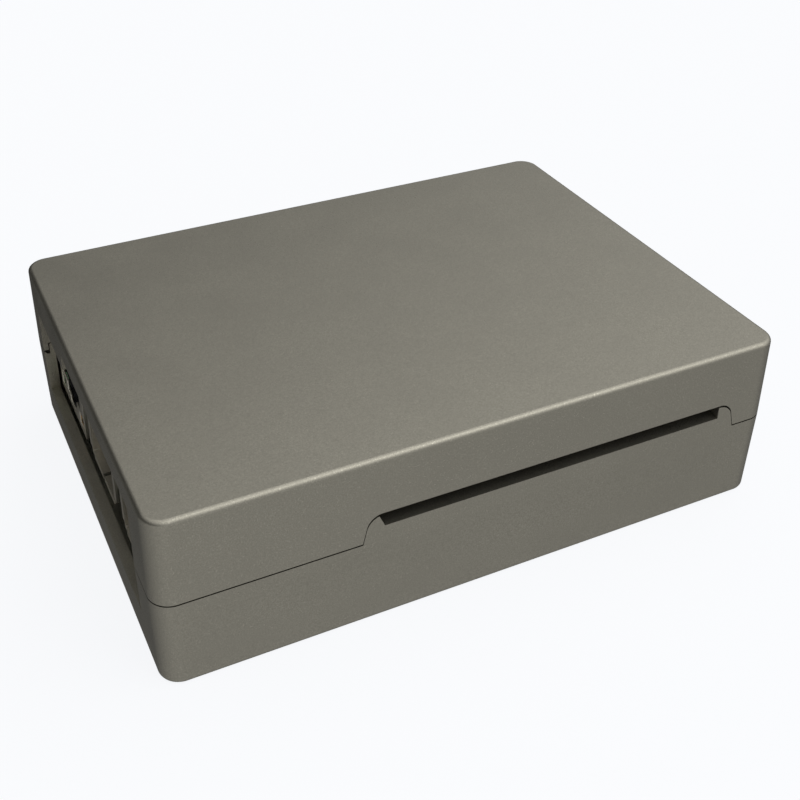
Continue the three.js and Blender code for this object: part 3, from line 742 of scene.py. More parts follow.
@dataclass(frozen=True)
class SheetMetal(Finish):
    """Rolled or plated sheet: faint lines along it, small dull marks."""

    roughness: float = 0.3
    lines: Triple = (1.0, 14.0, 14.0)

    def mixed(self, recipe: Recipe) -> bpy.types.Material:
        """Mixes the material.

        Args:
            recipe: The empty material.

        Returns:
            The material.
        """
        rolled = recipe.noise(0.9, 2.0, 0.6, recipe.stretched(self.lines))
        marks = recipe.ramp(recipe.noise(2.4, 3.0, 0.6), 0.45, 0.8).clamped()
        return recipe.surface({
            "Base Color": recipe.mix(marks, shade(self.colour, 1.05), shade(self.colour, 0.78)),
            "Metallic": 1.0,
            "Roughness": self.roughness + rolled * 0.12 + marks * 0.14,
            "Normal": recipe.bump(rolled, 0.004),
        })


@dataclass(frozen=True)
class Moulding(Finish):
    """Moulded plastic or epoxy with the mould's fine spark-eroded grain."""

    roughness: float = 0.5
    grain: float = 0.12
    depth: float = 0.008

    def mixed(self, recipe: Recipe) -> bpy.types.Material:
        """Mixes the material.

        Args:
            recipe: The empty material.

        Returns:
            The material.
        """
        grain = recipe.noise(self.grain, 2.0, 0.6)
        flow = recipe.noise(3.5, 2.0)
        return recipe.surface({
            "Base Color": recipe.mix(flow, shade(self.colour, 0.88), shade(self.colour, 1.12)),
            "Roughness": self.roughness + (flow - 0.5) * 0.12,
            "Normal": recipe.bump(grain, self.depth),
        })


@dataclass(frozen=True)
class SolderMask(Finish):
    """Green solder mask over copper tracks that run in bundles, with vias between them whose holes are
    painted near black as painted shade.
    """

    copper: Colour = (0.055, 0.20, 0.085)
    track_pitch: float = 0.62
    bundle: float = 6.5
    via_pitch: float = 2.9

    def mixed(self, recipe: Recipe) -> bpy.types.Material:
        """Mixes the material.

        Args:
            recipe: The empty material.

        Returns:
            The material.
        """
        x, y, _ = recipe.axes()
        area = recipe.cells(self.bundle, "Color")
        across = (area > 0.5) * x + (area < 0.5) * y
        slanted = (x + y) * (area > 0.78) + across * (area < 0.78)
        track = abs((slanted * (1 / self.track_pitch)).fraction() - 0.5) < 0.24
        routed = track * (recipe.noise(5.0, 1.0) > 0.42)
        via_hole_and_painted_shade = recipe.cells(self.via_pitch) < 0.1
        ring = recipe.cells(self.via_pitch) < 0.17
        copper = (routed + ring).clamped()
        mask = recipe.mix(recipe.noise(7.0), shade(self.colour, 0.85), shade(self.colour, 1.15))
        covered = recipe.mix(copper, mask, self.copper)
        return recipe.surface({
            # Painted shade: each via's hole is coloured near black for the dark inside of the hole; the
            # bump sinks it too.
            "Base Color": recipe.mix(via_hole_and_painted_shade, covered, (0.004, 0.012, 0.006)),
            "Roughness": 0.34 + recipe.noise(0.4) * 0.1,
            "Coat Weight": 0.3,
            "Normal": recipe.bump(copper - via_hole_and_painted_shade, 0.03),
        })


@dataclass(frozen=True)
class LampLens(Finish):
    """A lamp's clear coloured lens, lighter where its light would gather."""

    def mixed(self, recipe: Recipe) -> bpy.types.Material:
        """Mixes the material.

        Args:
            recipe: The empty material.

        Returns:
            The material.
        """
        glow = recipe.noise(0.9, 1.0)
        return recipe.surface({
            "Base Color": recipe.mix(glow, shade(self.colour, 0.7), shade(self.colour, 1.4)),
            "Roughness": 0.16 + glow * 0.1,
            "Coat Weight": 0.6,
            "Emission Color": recipe.mix(glow, shade(self.colour, 0.4), self.colour),
            "Emission Strength": 0.12,
            "Normal": recipe.bump(recipe.noise(0.3), 0.01),
        })


ALUMINIUM = BlastedMetal("blasted_aluminium", "case_aluminium", (0.38, 0.362, 0.300))
SCREW_STEEL = SheetMetal("blackened_screw_steel", "screw_steel", (0.035, 0.036, 0.04), 0.38)
SOCKET_STEEL = SheetMetal("plated_socket_steel", "socket_steel", (0.62, 0.59, 0.51), 0.30)
SPRING_STEEL = SheetMetal("spring_steel", "socket_steel", (0.6, 0.59, 0.56), 0.3)
GOLD = SheetMetal("gold_plate", "pin_gold", (0.86, 0.60, 0.20), 0.22, (14.0, 14.0, 1.0))
TIN = SheetMetal("tinned_ends", "socket_steel", (0.66, 0.66, 0.65), 0.34)
CAN = SheetMetal("drawn_can", "crystal_can", (0.56, 0.54, 0.50), 0.26, (8.0, 1.0, 8.0))
BLACK_PLASTIC = Moulding("black_moulding", "moulding_black", (0.012, 0.012, 0.013), 0.45)
WHITE_PLASTIC = Moulding("white_moulding", "moulding_white", (0.70, 0.67, 0.58), 0.42)
EPOXY = Moulding("chip_epoxy", "chip_black", (0.018, 0.018, 0.02), 0.52, 0.09, 0.012)
FERRITE = Moulding("ferrite", "chip_black", (0.045, 0.042, 0.04), 0.6, 0.2, 0.03)
CERAMIC = Moulding("ceramic", "ceramic_white", (0.78, 0.74, 0.64), 0.35, 0.2, 0.006)
TANTALUM = Moulding("moulded_capacitor", "capacitor_brown", (0.16, 0.075, 0.03), 0.46)
SILICONE = Moulding("silicone_pad", "pad_grey", (0.26, 0.31, 0.36), 0.75, 0.35, 0.05)
BOARD_GREEN = SolderMask("solder_mask", "board_green", (0.012, 0.085, 0.032))
GREEN_LENS = LampLens("green_lens", "lamp_green", (0.22, 0.60, 0.25))
AMBER_LENS = LampLens("amber_lens", "lamp_amber", (0.75, 0.36, 0.05))
RED_LENS = LampLens("red_lens", "lamp_red", (0.55, 0.06, 0.04))


# ------------------------------------------------------------------ case


@dataclass
class Case:
    """The two aluminium shells and the four screws that hold them together."""

    length: float = (CAD_BOX[1][0] - CAD_BOX[0][0]) / MM
    width: float = (CAD_BOX[1][1] - CAD_BOX[0][1]) / MM
    height: float = (CAD_BOX[1][2] - CAD_BOX[0][2]) / MM
    corner: float = 3.0
    top_edge: float = 0.7
    base_edge: float = 0.7
    taper: float = 0.3
    seam: float = 13.55
    seam_gap: float = 0.2
    seam_slope: float = 0.5
    side_wall: float = 2.2
    end_wall: float = 1.7
    floor: float = 2.0
    roof: float = 1.8
    inner_corner: float = 1.2
    lip: float = 0.8
    lip_height: float = 1.2
    lip_clearance: float = 0.15
    tab: tuple[float, float] = (-18.8, 39.6)
    tab_top: float = 17.45
    tab_corner: float = 1.7
    tab_lean: float = 0.95
    tab_gap: float = 0.3
    tab_play: float = 0.03
    slot: tuple[float, float] = (-15.8, 36.7)
    slot_sill: float = 15.65
    slot_lean: float = 24.0
    slot_chamfer: float = 0.3
    window: tuple[float, float] = (-25.6, 27.3)
    window_sill: float = 6.2
    window_tops: tuple[float, float] = (23.1, 20.6)
    window_step: float = 10.3
    cutouts: dict[str, tuple[float, float, float, float, float]] = field(default_factory=lambda: {
        "display": (11.0, 20.4, 5.4, 15.2, 1.2),
        "power": (32.4, 12.0, 4.9, 12.5, 1.2),
        "sound": (-10.5, 9.4, 5.6, 15.0, 4.6),
    })
    card_slot: tuple[float, float, float] = (15.0, 2.9, 6.3)
    standoff: float = 3.1
    pillar: float = 2.6
    screw_clearance: float = 0.2
    board_shift: float = 0.8

    def __post_init__(self) -> None:
        """Reads the screws and the heat path from the frame."""
        self.front = -self.width / 2
        self.left = -self.length / 2
        boxes = [node_box(f"case_screw_{i + 1}") for i in range(4)]
        self.screws = [((low.x + high.x) / 2, (low.y + high.y) / 2) for low, high in boxes]
        self.screw_foot = boxes[0][0].z
        self.screw_top = boxes[0][1].z
        self.head = (boxes[0][1].x - boxes[0][0].x) / 2
        self.board_low, self.board_high = node_box("circuit_board")
        self.pad_low, self.pad_high = node_box("thermal_pad")

    def _outside(self, name: str, edge: float, foot: bool) -> Workpiece:
        """The case's outside with one rim rounded."""
        low = (self.left, self.front, 0)
        high = (-self.left, -self.front, self.height)
        outside = Workpiece.block(name, low, high).bevel(upright, self.corner, 14)
        return outside.bevel(at_height(0 if foot else self.height), edge, 5)

    def _hollow(self, name: str, margin: float, heights: tuple[float, float]) -> Workpiece:
        """The case's hollow, grown by a margin on every side."""
        low = (self.left + self.end_wall - margin, self.front + self.side_wall - margin, heights[0])
        high = (-self.left - self.side_wall + margin, -self.front - self.side_wall + margin, heights[1])
        return Workpiece.block(name, low, high).bevel(upright, self.inner_corner + margin, 8)

    def _tab(self, name: str, lift: float, bottom: float, depths: tuple[float, float]) -> Workpiece:
        """The raised tab with its leaning flanks, or the notch over it if it is lifted clear."""
        top = self.tab_top + lift
        play = self.tab_play if lift else 0.0
        spread = self.tab_lean * (self.seam + lift - bottom) / (self.tab_top - self.seam) + play
        low = (self.tab[0] - spread, depths[0], bottom)
        high = (self.tab[1] + spread, depths[1], top)
        tab = Workpiece.block(name, low, high)
        narrow = (self.tab[1] - self.tab[0] - 2 * (self.tab_lean - play)) / (high[0] - low[0])
        tab.resize(facing((0, 0, 1)), (narrow, 1, 1))
        return tab.bevel(lambda a, b: min(a.z, b.z) > top - TINY and abs(a.x - b.x) < TINY,
                         self.tab_corner, 10)

    def _window(self) -> Workpiece:
        """The opening over the sockets, whose top steps up beside the network socket."""
        outside, inside = self.left - 2, self.left + self.end_wall + 0.3
        low, high = self.window
        main = Workpiece.block("window", (outside, low, self.window_sill),
                               (inside, self.window_step, self.window_tops[0]))
        side = Workpiece.block("window_side", (outside, self.window_step - 1, self.window_sill),
                               (inside, high, self.window_tops[1]))
        return main.join(side)

    def _edge_cutouts(self) -> list[Workpiece]:
        """The openings in the +Y wall for the display, power and sound plugs."""
        tools = []
        inside, outside = -self.front - self.side_wall - 2, -self.front + 2
        for name, (x, width, low, high, corner) in self.cutouts.items():
            tool = Workpiece.block(f"{name}_cutout", (x - width / 2, inside, low),
                                   (x + width / 2, outside, high))
            tools.append(tool.bevel(along_y, corner, 8))
        return tools

    def _screw_hole(self, x: float, y: float) -> list[Workpiece]:
        """The space for one countersunk screw, from the underside up."""
        gap = self.screw_clearance
        bore, head = 1.05 + gap, self.head + gap
        mouth = Workpiece.rod("screw_mouth", (x, y, -1), head, 1 + gap)
        sink = Workpiece.rod("screw_sink", (x, y, gap), head, 1.3, end_radius=bore)
        shaft = Workpiece.rod("screw_shaft", (x, y, 1), bore, 7)
        return [mouth, sink, shaft]

    def lower_shell(self) -> Workpiece:
        """The tray with its standoffs, locating lip, and the tab that frames the ribbon slot."""
        rim = self.seam - self.seam_gap / 2
        tray = self._outside("lower_shell", self.base_edge, True).keep(rim, False)
        tray.resize(lambda middle, normal: middle.z < self.base_edge + TINY,
                    (1 - self.taper / (self.length / 2), 1 - self.taper / (self.width / 2), 1))
        tray.inset(facing((0, 0, 1)), self.seam_slope, -self.seam_slope)
        lip = self._hollow("lip", self.lip, (rim - 2, self.seam + self.lip_height))
        tab = self._tab("tab", 0, rim - self.seam_slope - 0.1, (self.front, self.front + self.side_wall))
        tray.join(lip).cut(self._hollow("tray_hollow", 0, (self.floor, self.height)))
        tray.join(tab)
        standoffs = [Workpiece.rod("standoff", (x, y, self.floor - 1), self.standoff,
                                   self.board_low.z - self.floor + 0.95) for x, y in self.screws]
        tray.join(*standoffs)
        slot = Workpiece.block("slot", (self.slot[0], self.front - 2, self.slot_sill),
                               (self.slot[1], self.front + self.side_wall + 2, self.tab_top + 2))
        slot_width, slot_low, slot_high = self.card_slot
        card = Workpiece.block(
            "card_opening", (-self.left - self.side_wall - 2, self.board_shift - slot_width / 2, slot_low),
            (-self.left + 2, self.board_shift + slot_width / 2, slot_high))
        card.bevel(along_x, 1.1, 6)
        slot_end = Workpiece.block("slot_end", (self.slot[0], self.front - 2, self.slot_sill),
                                   (self.slot[0] + 2, self.front + self.side_wall + 2, self.tab_top + 2))
        slot_end.turn(-self.slot_lean, "Y", (self.slot[0], 0, self.slot_sill))
        tray.cut(slot, slot_end, self._window(), card, *self._edge_cutouts())
        for x, y in self.screws:
            tray.cut(*self._screw_hole(x, y))
        tray.bevel(lambda a, b: at_height(self.slot_sill)(a, b) and max(a.y, b.y) < self.front + TINY,
                   self.slot_chamfer, 2)
        return tray.soften(0.05)

    def upper_shell(self) -> Workpiece:
        """The lid with its screw pillars, heat pillar, rebate for the lip and notch for the tab."""
        rim = self.seam + self.seam_gap / 2
        rebate = self.lip + self.lip_clearance
        ceiling = self.height - self.roof
        lid = self._outside("upper_shell", self.top_edge, False).keep(rim, True)
        lid.cut(self._hollow("lid_hollow", 0, (0, ceiling)),
                self._hollow("lid_rebate", rebate, (0, self.seam + self.lip_height + self.lip_clearance)))
        lid.cut(self._tab("notch", self.tab_gap, rim - 2,
                          (self.front - 2, self.front + self.side_wall + 1)))
        lid.cut(self._window(), *self._edge_cutouts())
        foot = self.board_high.z + 0.1
        pillars = [Workpiece.rod("pillar", (x, y, foot), self.pillar, ceiling + 0.8 - foot)
                   for x, y in self.screws]
        heat = Workpiece.block("heat_pillar",
                               (self.pad_low.x - 0.25, self.pad_low.y - 0.25, self.pad_high.z + 0.05),
                               (self.pad_high.x + 0.25, self.pad_high.y + 0.25, ceiling + 0.8))
        heat.bevel(upright, 1.0, 5)
        lid.join(*pillars, heat)
        bores = [Workpiece.rod("pillar_bore", (x, y, 0), 1.25, self.screw_top + 2) for x, y in self.screws]
        lid.cut(*bores)
        return lid.soften(0.05)

    def screw(self, index: int) -> Workpiece:
        """One countersunk screw with a hexagon key socket and a thread.

        Args:
            index: Which screw, from zero.

        Returns:
            The screw.
        """
        x, y = self.screws[index]
        radius, head_height, pitch = 1.05, 1.3, 0.45
        foot = self.screw_foot
        screw = Workpiece.rod(f"countersunk_screw_{index + 1}", (x, y, foot + 0.25), self.head,
                              head_height - 0.25, end_radius=radius)
        rim = Workpiece.rod("head_rim", (x, y, foot), self.head - 0.08, 0.26, end_radius=self.head)
        shank = Workpiece.rod("shank", (x, y, foot + head_height - 0.1), radius - 0.16,
                              self.screw_top - foot - head_height + 0.1, sides=20)
        screw.join(rim, shank)
        key = Workpiece.rod("key", (x, y, -1), 0.8, foot + 1.9, sides=6)
        screw.cut(key).soften(0.04, 2)
        turns = int((self.screw_top - foot - head_height - 0.6) / pitch)
        crest = Workpiece.rod("crest", (x, y, foot + head_height + 0.2), radius - 0.17, pitch * 0.5,
                              sides=20, end_radius=radius)
        flank = Workpiece.rod("flank", (x, y, foot + head_height + 0.2 + pitch * 0.5), radius,
                              pitch * 0.48, sides=20, end_radius=radius - 0.17)
        ridge = crest.gather([flank]).smooth(50)
        ridges = [ridge.copy("ridge", (0, 0, pitch * turn)) for turn in range(1, turns)]
        return screw.gather([ridge, *ridges])

    def build(self) -> None:
        """Builds the shells and the screws and ties them to the frame."""
        self.lower_shell().dress(ALUMINIUM, "base", ("bottom_shell",))
        self.upper_shell().dress(ALUMINIUM, "lid", ("top_shell",))
        for index in range(len(self.screws)):
            self.screw(index).dress(SCREW_STEEL, "base", (f"case_screw_{index + 1}",))


# ------------------------------------------------------------------ board


def along_x(a: Vector, b: Vector) -> bool:
    """True for an edge that runs along X."""
    return abs(a.y - b.y) < TINY and abs(a.z - b.z) < TINY


def along_y(a: Vector, b: Vector) -> bool:
    """True for an edge that runs along Y."""
    return abs(a.x - b.x) < TINY and abs(a.z - b.z) < TINY


@dataclass
class Board:
    """The circuit board with its chips, terminated parts, lamps and rows of tiny parts."""

    corner: float = 3.0
    hole: float = 1.375
    ring: float = 2.9
    copper: float = 0.035
    tiny: Triple = (1.0, 0.5, 0.42)
    tiny_end: float = 0.24
    tiny_pitch: float = 1.8
    capacitor_rows: tuple[tuple[float, float, int, bool], ...] = (
        (8.4, 4.6, 8, False), (9.0, -13.4, 9, False), (7.6, -10.4, 7, True), (-18.0, -10.8, 6, False),
        (28.4, 15.6, 5, False), (2.2, 8.6, 5, True), (-16.6, 8.4, 4, False))
    resistor_rows: tuple[tuple[float, float, int, bool], ...] = (
        (4.8, -10.4, 7, True), (-18.0, 1.8, 6, False), (-6.6, -8.2, 5, True), (36.0, -9.0, 8, True),
        (-5.4, 9.0, 3, True), (9.0, -15.6, 7, False))

    def __post_init__(self) -> None:
        """Reads the board's place from the frame."""
        self.low, self.high = node_box("circuit_board")
        self.holes = [((low.x + high.x) / 2, (low.y + high.y) / 2)
                      for low, high in (node_box(f"case_screw_{i + 1}") for i in range(4))]

    def laminate(self) -> Workpiece:
        """The bare board with its round corners and its four holes."""
        board = Workpiece.block("printed_board", self.low, self.high).bevel(upright, self.corner, 10)
        board.cut(*[Workpiece.rod("hole", (x, y, 0), self.hole, self.high.z + 2) for x, y in self.holes])
        return board.soften(0.05)

    def hole_rings(self) -> Workpiece:
        """The bare plated rings round the holes, on both faces."""
        rings = []
        for x, y in self.holes:
            for base in (self.high.z, self.low.z - self.copper):
                ring = Workpiece.rod("ring", (x, y, base), self.ring, self.copper)
                rings.append(ring.cut(Workpiece.rod("bore", (x, y, base - 1), self.hole + 0.05, 3)))
        return rings[0].gather(rings[1:]).smooth()

    def _tiny_rows(self, name: str, rows: tuple[tuple[float, float, int, bool], ...]) -> list[Workpiece]:
        """Rows of tiny two-ended parts: their bodies, and all of their tinned ends."""
        length, width, height = self.tiny
        base = self.high.z + 0.02
        bodies, ends = [], []
        for start_x, start_y, count, upward in rows:
            size = (width, length) if upward else (length, width)
            inner = (size[0] - 0.04, size[1] - 0.04)
            body = Workpiece.slab(name, (start_x, start_y), inner, (base + 0.01, base + height - 0.03))
            body.bevel(lambda a, b: not upright(a, b), 0.03)
            shift = (length - self.tiny_end) / 2
            end_size = (width, self.tiny_end) if upward else (self.tiny_end, width)
            pair = [Workpiece.slab("end",
                                   (start_x + (0 if upward else side), start_y + (side if upward else 0)),
                                   end_size, (base, base + height)) for side in (-shift, shift)]
            end = pair[0].gather(pair[1:])
            step = (0, self.tiny_pitch, 0) if upward else (self.tiny_pitch, 0, 0)
            moves = [tuple(part * turn for part in step) for turn in range(1, count)]
            bodies += [body, *[body.copy(name, move) for move in moves]]
            ends += [end, *[end.copy("end", move) for move in moves]]
        return [bodies[0].gather(bodies[1:]), ends[0].gather(ends[1:])]

    def package(self, node: str, name: str, finish: Finish, underside: bool = False) -> None:
        """A flat moulded chip with broken edges and a dimple that marks its first contact.

        Args:
            node: The frame node that it stands for.
            name: The piece's name.
            finish: Its finish.
            underside: True for a chip that hangs under the board.
        """
        low, high = node_box(node)
        outer, inner = (low.z, high.z) if underside else (high.z, low.z)
        out = math.copysign(1, outer - inner)
        chip = Workpiece.block(name, low, high)
        chip.inset(facing((0, 0, out)), 0.22).inset(facing((0, 0, out)), 0.06, -0.05)
        dimple = Workpiece.rod("dimple", (low.x + 1.0, high.y - 1.0, outer - 0.11), 0.32, 0.3, sides=20)
        chip.cut(dimple).soften(0.06).dress(finish, "base", (node,))

    def contacts(self, node: str, name: str, per_side: int) -> None:
        """The tinned feet round a flat chip.

        Args:
            node: The frame node of the chip.
            name: The piece's name.
            per_side: How many feet there are on each side.
        """
        low, high = node_box(node)
        pitch = (high.x - low.x - 1.2) / (per_side - 1)
        foot_low, foot_high = low.z - 0.03, low.z + 0.16
        feet = []
        for side in (low.y, high.y):
            foot = Workpiece.slab("foot", (low.x + 0.6, side), (pitch * 0.5, 0.36), (foot_low, foot_high))
            feet += [foot, *[foot.copy("foot", (pitch * turn, 0, 0)) for turn in range(1, per_side)]]
        for side in (low.x, high.x):
            foot = Workpiece.slab("foot", (side, low.y + 0.6), (0.36, pitch * 0.5), (foot_low, foot_high))
            feet += [foot, *[foot.copy("foot", (0, pitch * turn, 0)) for turn in range(1, per_side)]]
        feet[0].item.name = name
        feet[0].gather(feet[1:]).dress(TIN, "base")

    def processor(self) -> None:
        """The processor: a green carrier with a metal lid on it."""
        low, high = node_box("processor")
        carrier = Workpiece.block("processor_carrier", low, (high.x, high.y, low.z + 0.45))
        carrier.bevel(upright, 0.3, 3).soften(0.04).dress(BOARD_GREEN, "base")
        lid = Workpiece.block("processor_lid", (low.x + 0.9, low.y + 0.9, low.z + 0.45),
                              (high.x - 0.9, high.y - 0.9, high.z))
        lid.bevel(upright, 0.8, 5).inset(facing((0, 0, 1)), 0.9).inset(facing((0, 0, 1)), 0.15, 0.0)
        lid.resize(lambda middle, normal: normal.z > 0.9 and middle.z > high.z - TINY, (0.98, 0.98, 1))
        lid.soften(0.12).dress(TIN, "base", ("processor",))

    def terminated(self, node: str, finish: Finish, end: float) -> None:
        """A part whose two ends are tinned, with the longer side as its length.

        Args:
            node: The frame node that it stands for.
            finish: The finish of its body.
            end: The length of each tinned end.
        """
        low, high = node_box(node)
        lengthways_y = high.y - low.y > high.x - low.x
        trim = Vector((0.07, 0.07, 0.0))
        body = Workpiece.block(f"{node}_body", low + trim, high - trim)
        body.bevel(upright, 0.25, 3)
        body.inset(facing((0, 0, 1)), 0.3).inset(facing((0, 0, 1)), 0.1, -0.06)
        body.soften(0.06).dress(finish, "base", (node,))
        caps = []
        for first in (True, False):
            start, stop = low.copy(), high.copy()
            index = 1 if lengthways_y else 0
            if first:
                stop[index] = low[index] + end
            else:
                start[index] = high[index] - end
            stop.z = low.z + (high.z - low.z) * 0.72
            cap = Workpiece.block(f"{node}_ends", start, stop)
            caps.append(cap.bevel(lambda a, b: True, 0.05, 2))
        caps[0].gather(caps[1:]).smooth().dress(TIN, "base")

    def can(self, node: str) -> None:
        """A crystal's drawn metal can: a flange, and a lid with round corners.

        Args:
            node: The frame node that it stands for.
        """
        low, high = node_box(node)
        can = Workpiece.block(f"{node}_can", low, (high.x, high.y, low.z + 0.25)).bevel(upright, 0.5, 5)
        can.inset(facing((0, 0, 1)), 0.22)
        can.extrude(facing((0, 0, 1)), (0, 0, high.z - low.z - 0.25))
        can.bevel(at_height(high.z), 0.16, 4)
        can.smooth().dress(CAN, "base", (node,))

    def lamp(self, node: str, finish: Finish) -> None:
        """A tiny lamp: a clear lens over a white base.

        Args:
            node: The frame node that it stands for.
            finish: The lens's finish.
        """
        low, high = node_box(node)
        base = Workpiece.block(f"{node}_base", low, (high.x, high.y, low.z + 0.28))
        base.bevel(upright, 0.08, 2).dress(WHITE_PLASTIC, "base")
        lens = Workpiece.block(f"{node}_lens", (low.x + 0.28, low.y + 0.06, low.z + 0.28),
                               (high.x - 0.28, high.y - 0.06, high.z))
        lens.bevel(lambda a, b: min(a.z, b.z) > high.z - TINY, 0.16, 4).smooth(60)
        lens.dress(finish, "base", (node,))

    def pad(self) -> None:
        """The soft pad that carries the processor's heat, bulging a little at its sides."""
        low, high = node_box("thermal_pad")
        pad = Workpiece.block("heat_pad", low, high).bevel(upright, 0.5, 4)
        pad.bevel(at_height(high.z), 0.22, 4).bevel(at_height(low.z), 0.22, 4)
        pad.smooth(60).dress(SILICONE, "base", ("thermal_pad",))

    def build(self) -> None:
        """Builds the board and everything small on it."""
        self.laminate().dress(BOARD_GREEN, "base", ("circuit_board",))
        self.hole_rings().dress(GOLD, "base")
        for name, rows, finish in (("small_capacitors", self.capacitor_rows, TANTALUM),
                                   ("small_resistors", self.resistor_rows, EPOXY)):
            bodies, ends = self._tiny_rows(name, rows)
            bodies.item.name = name
            ends.item.name = f"{name}_ends"
            bodies.dress(finish, "base")
            ends.dress(TIN, "base")
        self.processor()
        self.package("usb_hub_chip", "usb_hub_package", EPOXY)
        self.contacts("usb_hub_chip", "usb_hub_feet", 12)
        self.package("power_chip", "power_chip_package", EPOXY)
        self.contacts("power_chip", "power_chip_feet", 7)
        self.package("memory_chip", "memory_package", EPOXY, True)
        self.package("wireless_chip", "wireless_package", EPOXY, True)
        for node in ("power_inductor_1", "power_inductor_2"):
            self.terminated(node, FERRITE, 0.7)
        for node in ("bulk_capacitor_1", "bulk_capacitor_2"):
            self.terminated(node, TANTALUM, 0.6)
        self.terminated("resettable_fuse", EPOXY, 0.8)
        self.terminated("wireless_antenna", CERAMIC, 0.8)
        self.can("network_crystal")
        self.can("processor_crystal")
        self.lamp("power_lamp", RED_LENS)
        self.lamp("activity_lamp", GREEN_LENS)
        self.pad()


# ------------------------------------------------------------------ sockets at the -X end


@dataclass
class UsbStack:
    """A double USB socket: folded shell, divider, moulding and contacts."""

    index: int
    width: float = 13.1
    base: float = 0.9
    sheet: float = 0.35
    flange: float = 0.9
    low_flange: float = 0.6
    flange_inset: float = 0.9
    slit: float = 0.7
    mouth_height: float = 5.12
    mouth_middles: tuple[float, float] = (3.8, 12.0)
    mouth_depth: float = 12.6
    tongue_rise: float = 0.2
    contact_places: tuple[float, ...] = (-3.5, -1.0, 1.0, 3.5)
    spring: tuple[float, float] = (1.7, 5.2)

    def __post_init__(self) -> None:
        """Reads the socket's place from the frame."""
        low, high = node_box(f"usb_socket_shell_{self.index}")
        self.board_top = node_box("circuit_board")[1].z
        self.front, self.back = low.x, high.x
        self.middle = (low.y + high.y) / 2
        self.half = self.width / 2
        self.bottom, self.top = self.board_top + self.base, high.z
        self.mouths = [self.board_top + height for height in self.mouth_middles]

    def shell(self) -> Workpiece:
        """The folded shell with its flanges, slit lower lip, spring windows and feet."""
        near, far = self.middle - self.half, self.middle + self.half
        sheet, front = self.sheet, self.front
        shell = Workpiece.block(f"usb_shell_{self.index}", (front, near, self.bottom),
                                (self.back, far, self.top))
        shell.bevel(along_x, 0.4, 4)
        inside = Workpiece.block("inside", (front - 1, near + sheet, self.bottom + sheet),
                                 (self.back - sheet, far - sheet, self.top - sheet))
        shell.cut(inside.bevel(along_x, 0.15, 3))
        for side in (-1, 1):
            edges = sorted((self.middle + side * (self.half - sheet),
                            self.middle + side * (self.half + self.flange)))
            wing = Workpiece.block("wing", (front, edges[0], self.bottom + self.flange_inset),
                                   (front + sheet, edges[1], self.top - self.flange_inset))
            shell.join(wing.bevel(along_x, 0.12, 2))
        lip = Workpiece.block("lip", (front, near + self.flange_inset, self.bottom - self.low_flange),
                              (front + sheet, far - self.flange_inset, self.bottom + sheet))
        slit = Workpiece.slab("slit", (front, self.middle), (5, self.slit),
                              (self.bottom - 2, self.bottom + 1))
        shell.join(lip.bevel(upright, 0.12, 2))
        shell.cut(slit)
        width, length = self.spring
        for offset in (-3.2, 3.2):
            window = Workpiece.slab("window", (front + 6, self.middle + offset),
                                    (length + 0.6, width + 0.7),
                                    (self.top - 1, self.top + 1))
            shell.cut(window)
        for height in self.mouths:
            window = Workpiece.block("window", (front + 3.2, near - 1, height - 0.9),
                                     (front + 8.8, far + 1, height + 0.9))
            shell.cut(window)
        for side in (-1, 1):
            foot = Workpiece.slab("foot", (front + 9.6, self.middle + side * (self.half - 0.3)),
                                  (13.0, sheet), (self.board_top + 0.05, self.bottom + sheet))
            shell.join(foot)
        return shell.soften(0.06)

    def springs(self) -> Workpiece:
        """The sprung tongues in the shell's windows, bent inwards to grip a plug."""
        width, length = self.spring
        thin = 0.2
        springs = []
        for offset in (-3.2, 3.2):
            tongue = Workpiece.slab("tongue", (self.front + 6, self.middle + offset), (length, width),
                                    (self.top - self.sheet, self.top - self.sheet + thin))
            springs.append(tongue.turn(4.5, "Y", (self.front + 8.6, 0, self.top - self.sheet / 2)))
        for height in self.mouths:
            for side in (-1, 1):
                wall = self.middle + side * (self.half - self.sheet / 2)
                tongue = Workpiece.slab("tongue", (self.front + 6, wall), (length, thin),
                                        (height - 0.65, height + 0.65))
                springs.append(tongue.turn(side * 4.5, "Z", (self.front + 8.6, wall, 0)))
        springs[0].item.name = f"usb_springs_{self.index}"
        return springs[0].gather(springs[1:]).soften(0.05)

    def divider(self) -> Workpiece:
        """The folded channel between the two mouths, whose front edges are rolled."""
        half = self.half - self.sheet - 0.04
        low = self.mouths[0] + self.mouth_height / 2 - 0.22
        high = self.mouths[1] - self.mouth_height / 2 + 0.22
        divider = Workpiece.block(f"usb_divider_{self.index}", (self.front + 0.05, self.middle - half, low),
                                  (self.front + self.mouth_depth, self.middle + half, high))
        inside = Workpiece.block("inside", (self.front + 0.3, self.middle - half - 1, low + 0.2),
                                 (self.back, self.middle + half + 1, high - 0.2))
        divider.bevel(lambda a, b: along_y(a, b) and max(a.x, b.x) < self.front + 0.1, 0.2, 4)
        return divider.cut(inside).soften(0.04)

    def contacts(self) -> Workpiece:
        """The gold contacts under the two tongues, crowned where a plug wipes them."""
        strips = []
        for height in self.mouths:
            under = height + self.tongue_rise
            strip = Workpiece.block("strip", (self.front + 2.2, self.middle - 0.5, under - 0.06),
                                    (self.front + 11.5, self.middle + 0.5, under + 0.04))
            strip.inset(facing((0, 0, -1)), 0.16, 0.12)
            strip.bevel(lambda a, b: True, 0.02)
            for place in self.contact_places:
                strips.append(strip.copy("strip", (0, place, 0)))
            bpy.data.objects.remove(strip.item)
        strips[0].item.name = f"usb_contacts_{self.index}"
        return strips[0].gather(strips[1:]).smooth()

    def build(self) -> None:
        """Builds the socket round the moulding, which is kept from the frame."""
        self.shell().dress(SOCKET_STEEL, "base", (f"usb_socket_shell_{self.index}",))
        self.springs().dress(SPRING_STEEL, "base")
        self.divider().dress(SOCKET_STEEL, "base")
        self.contacts().dress(GOLD, "base")
        dress_node(f"usb_socket_insert_{self.index}", BLACK_PLASTIC)


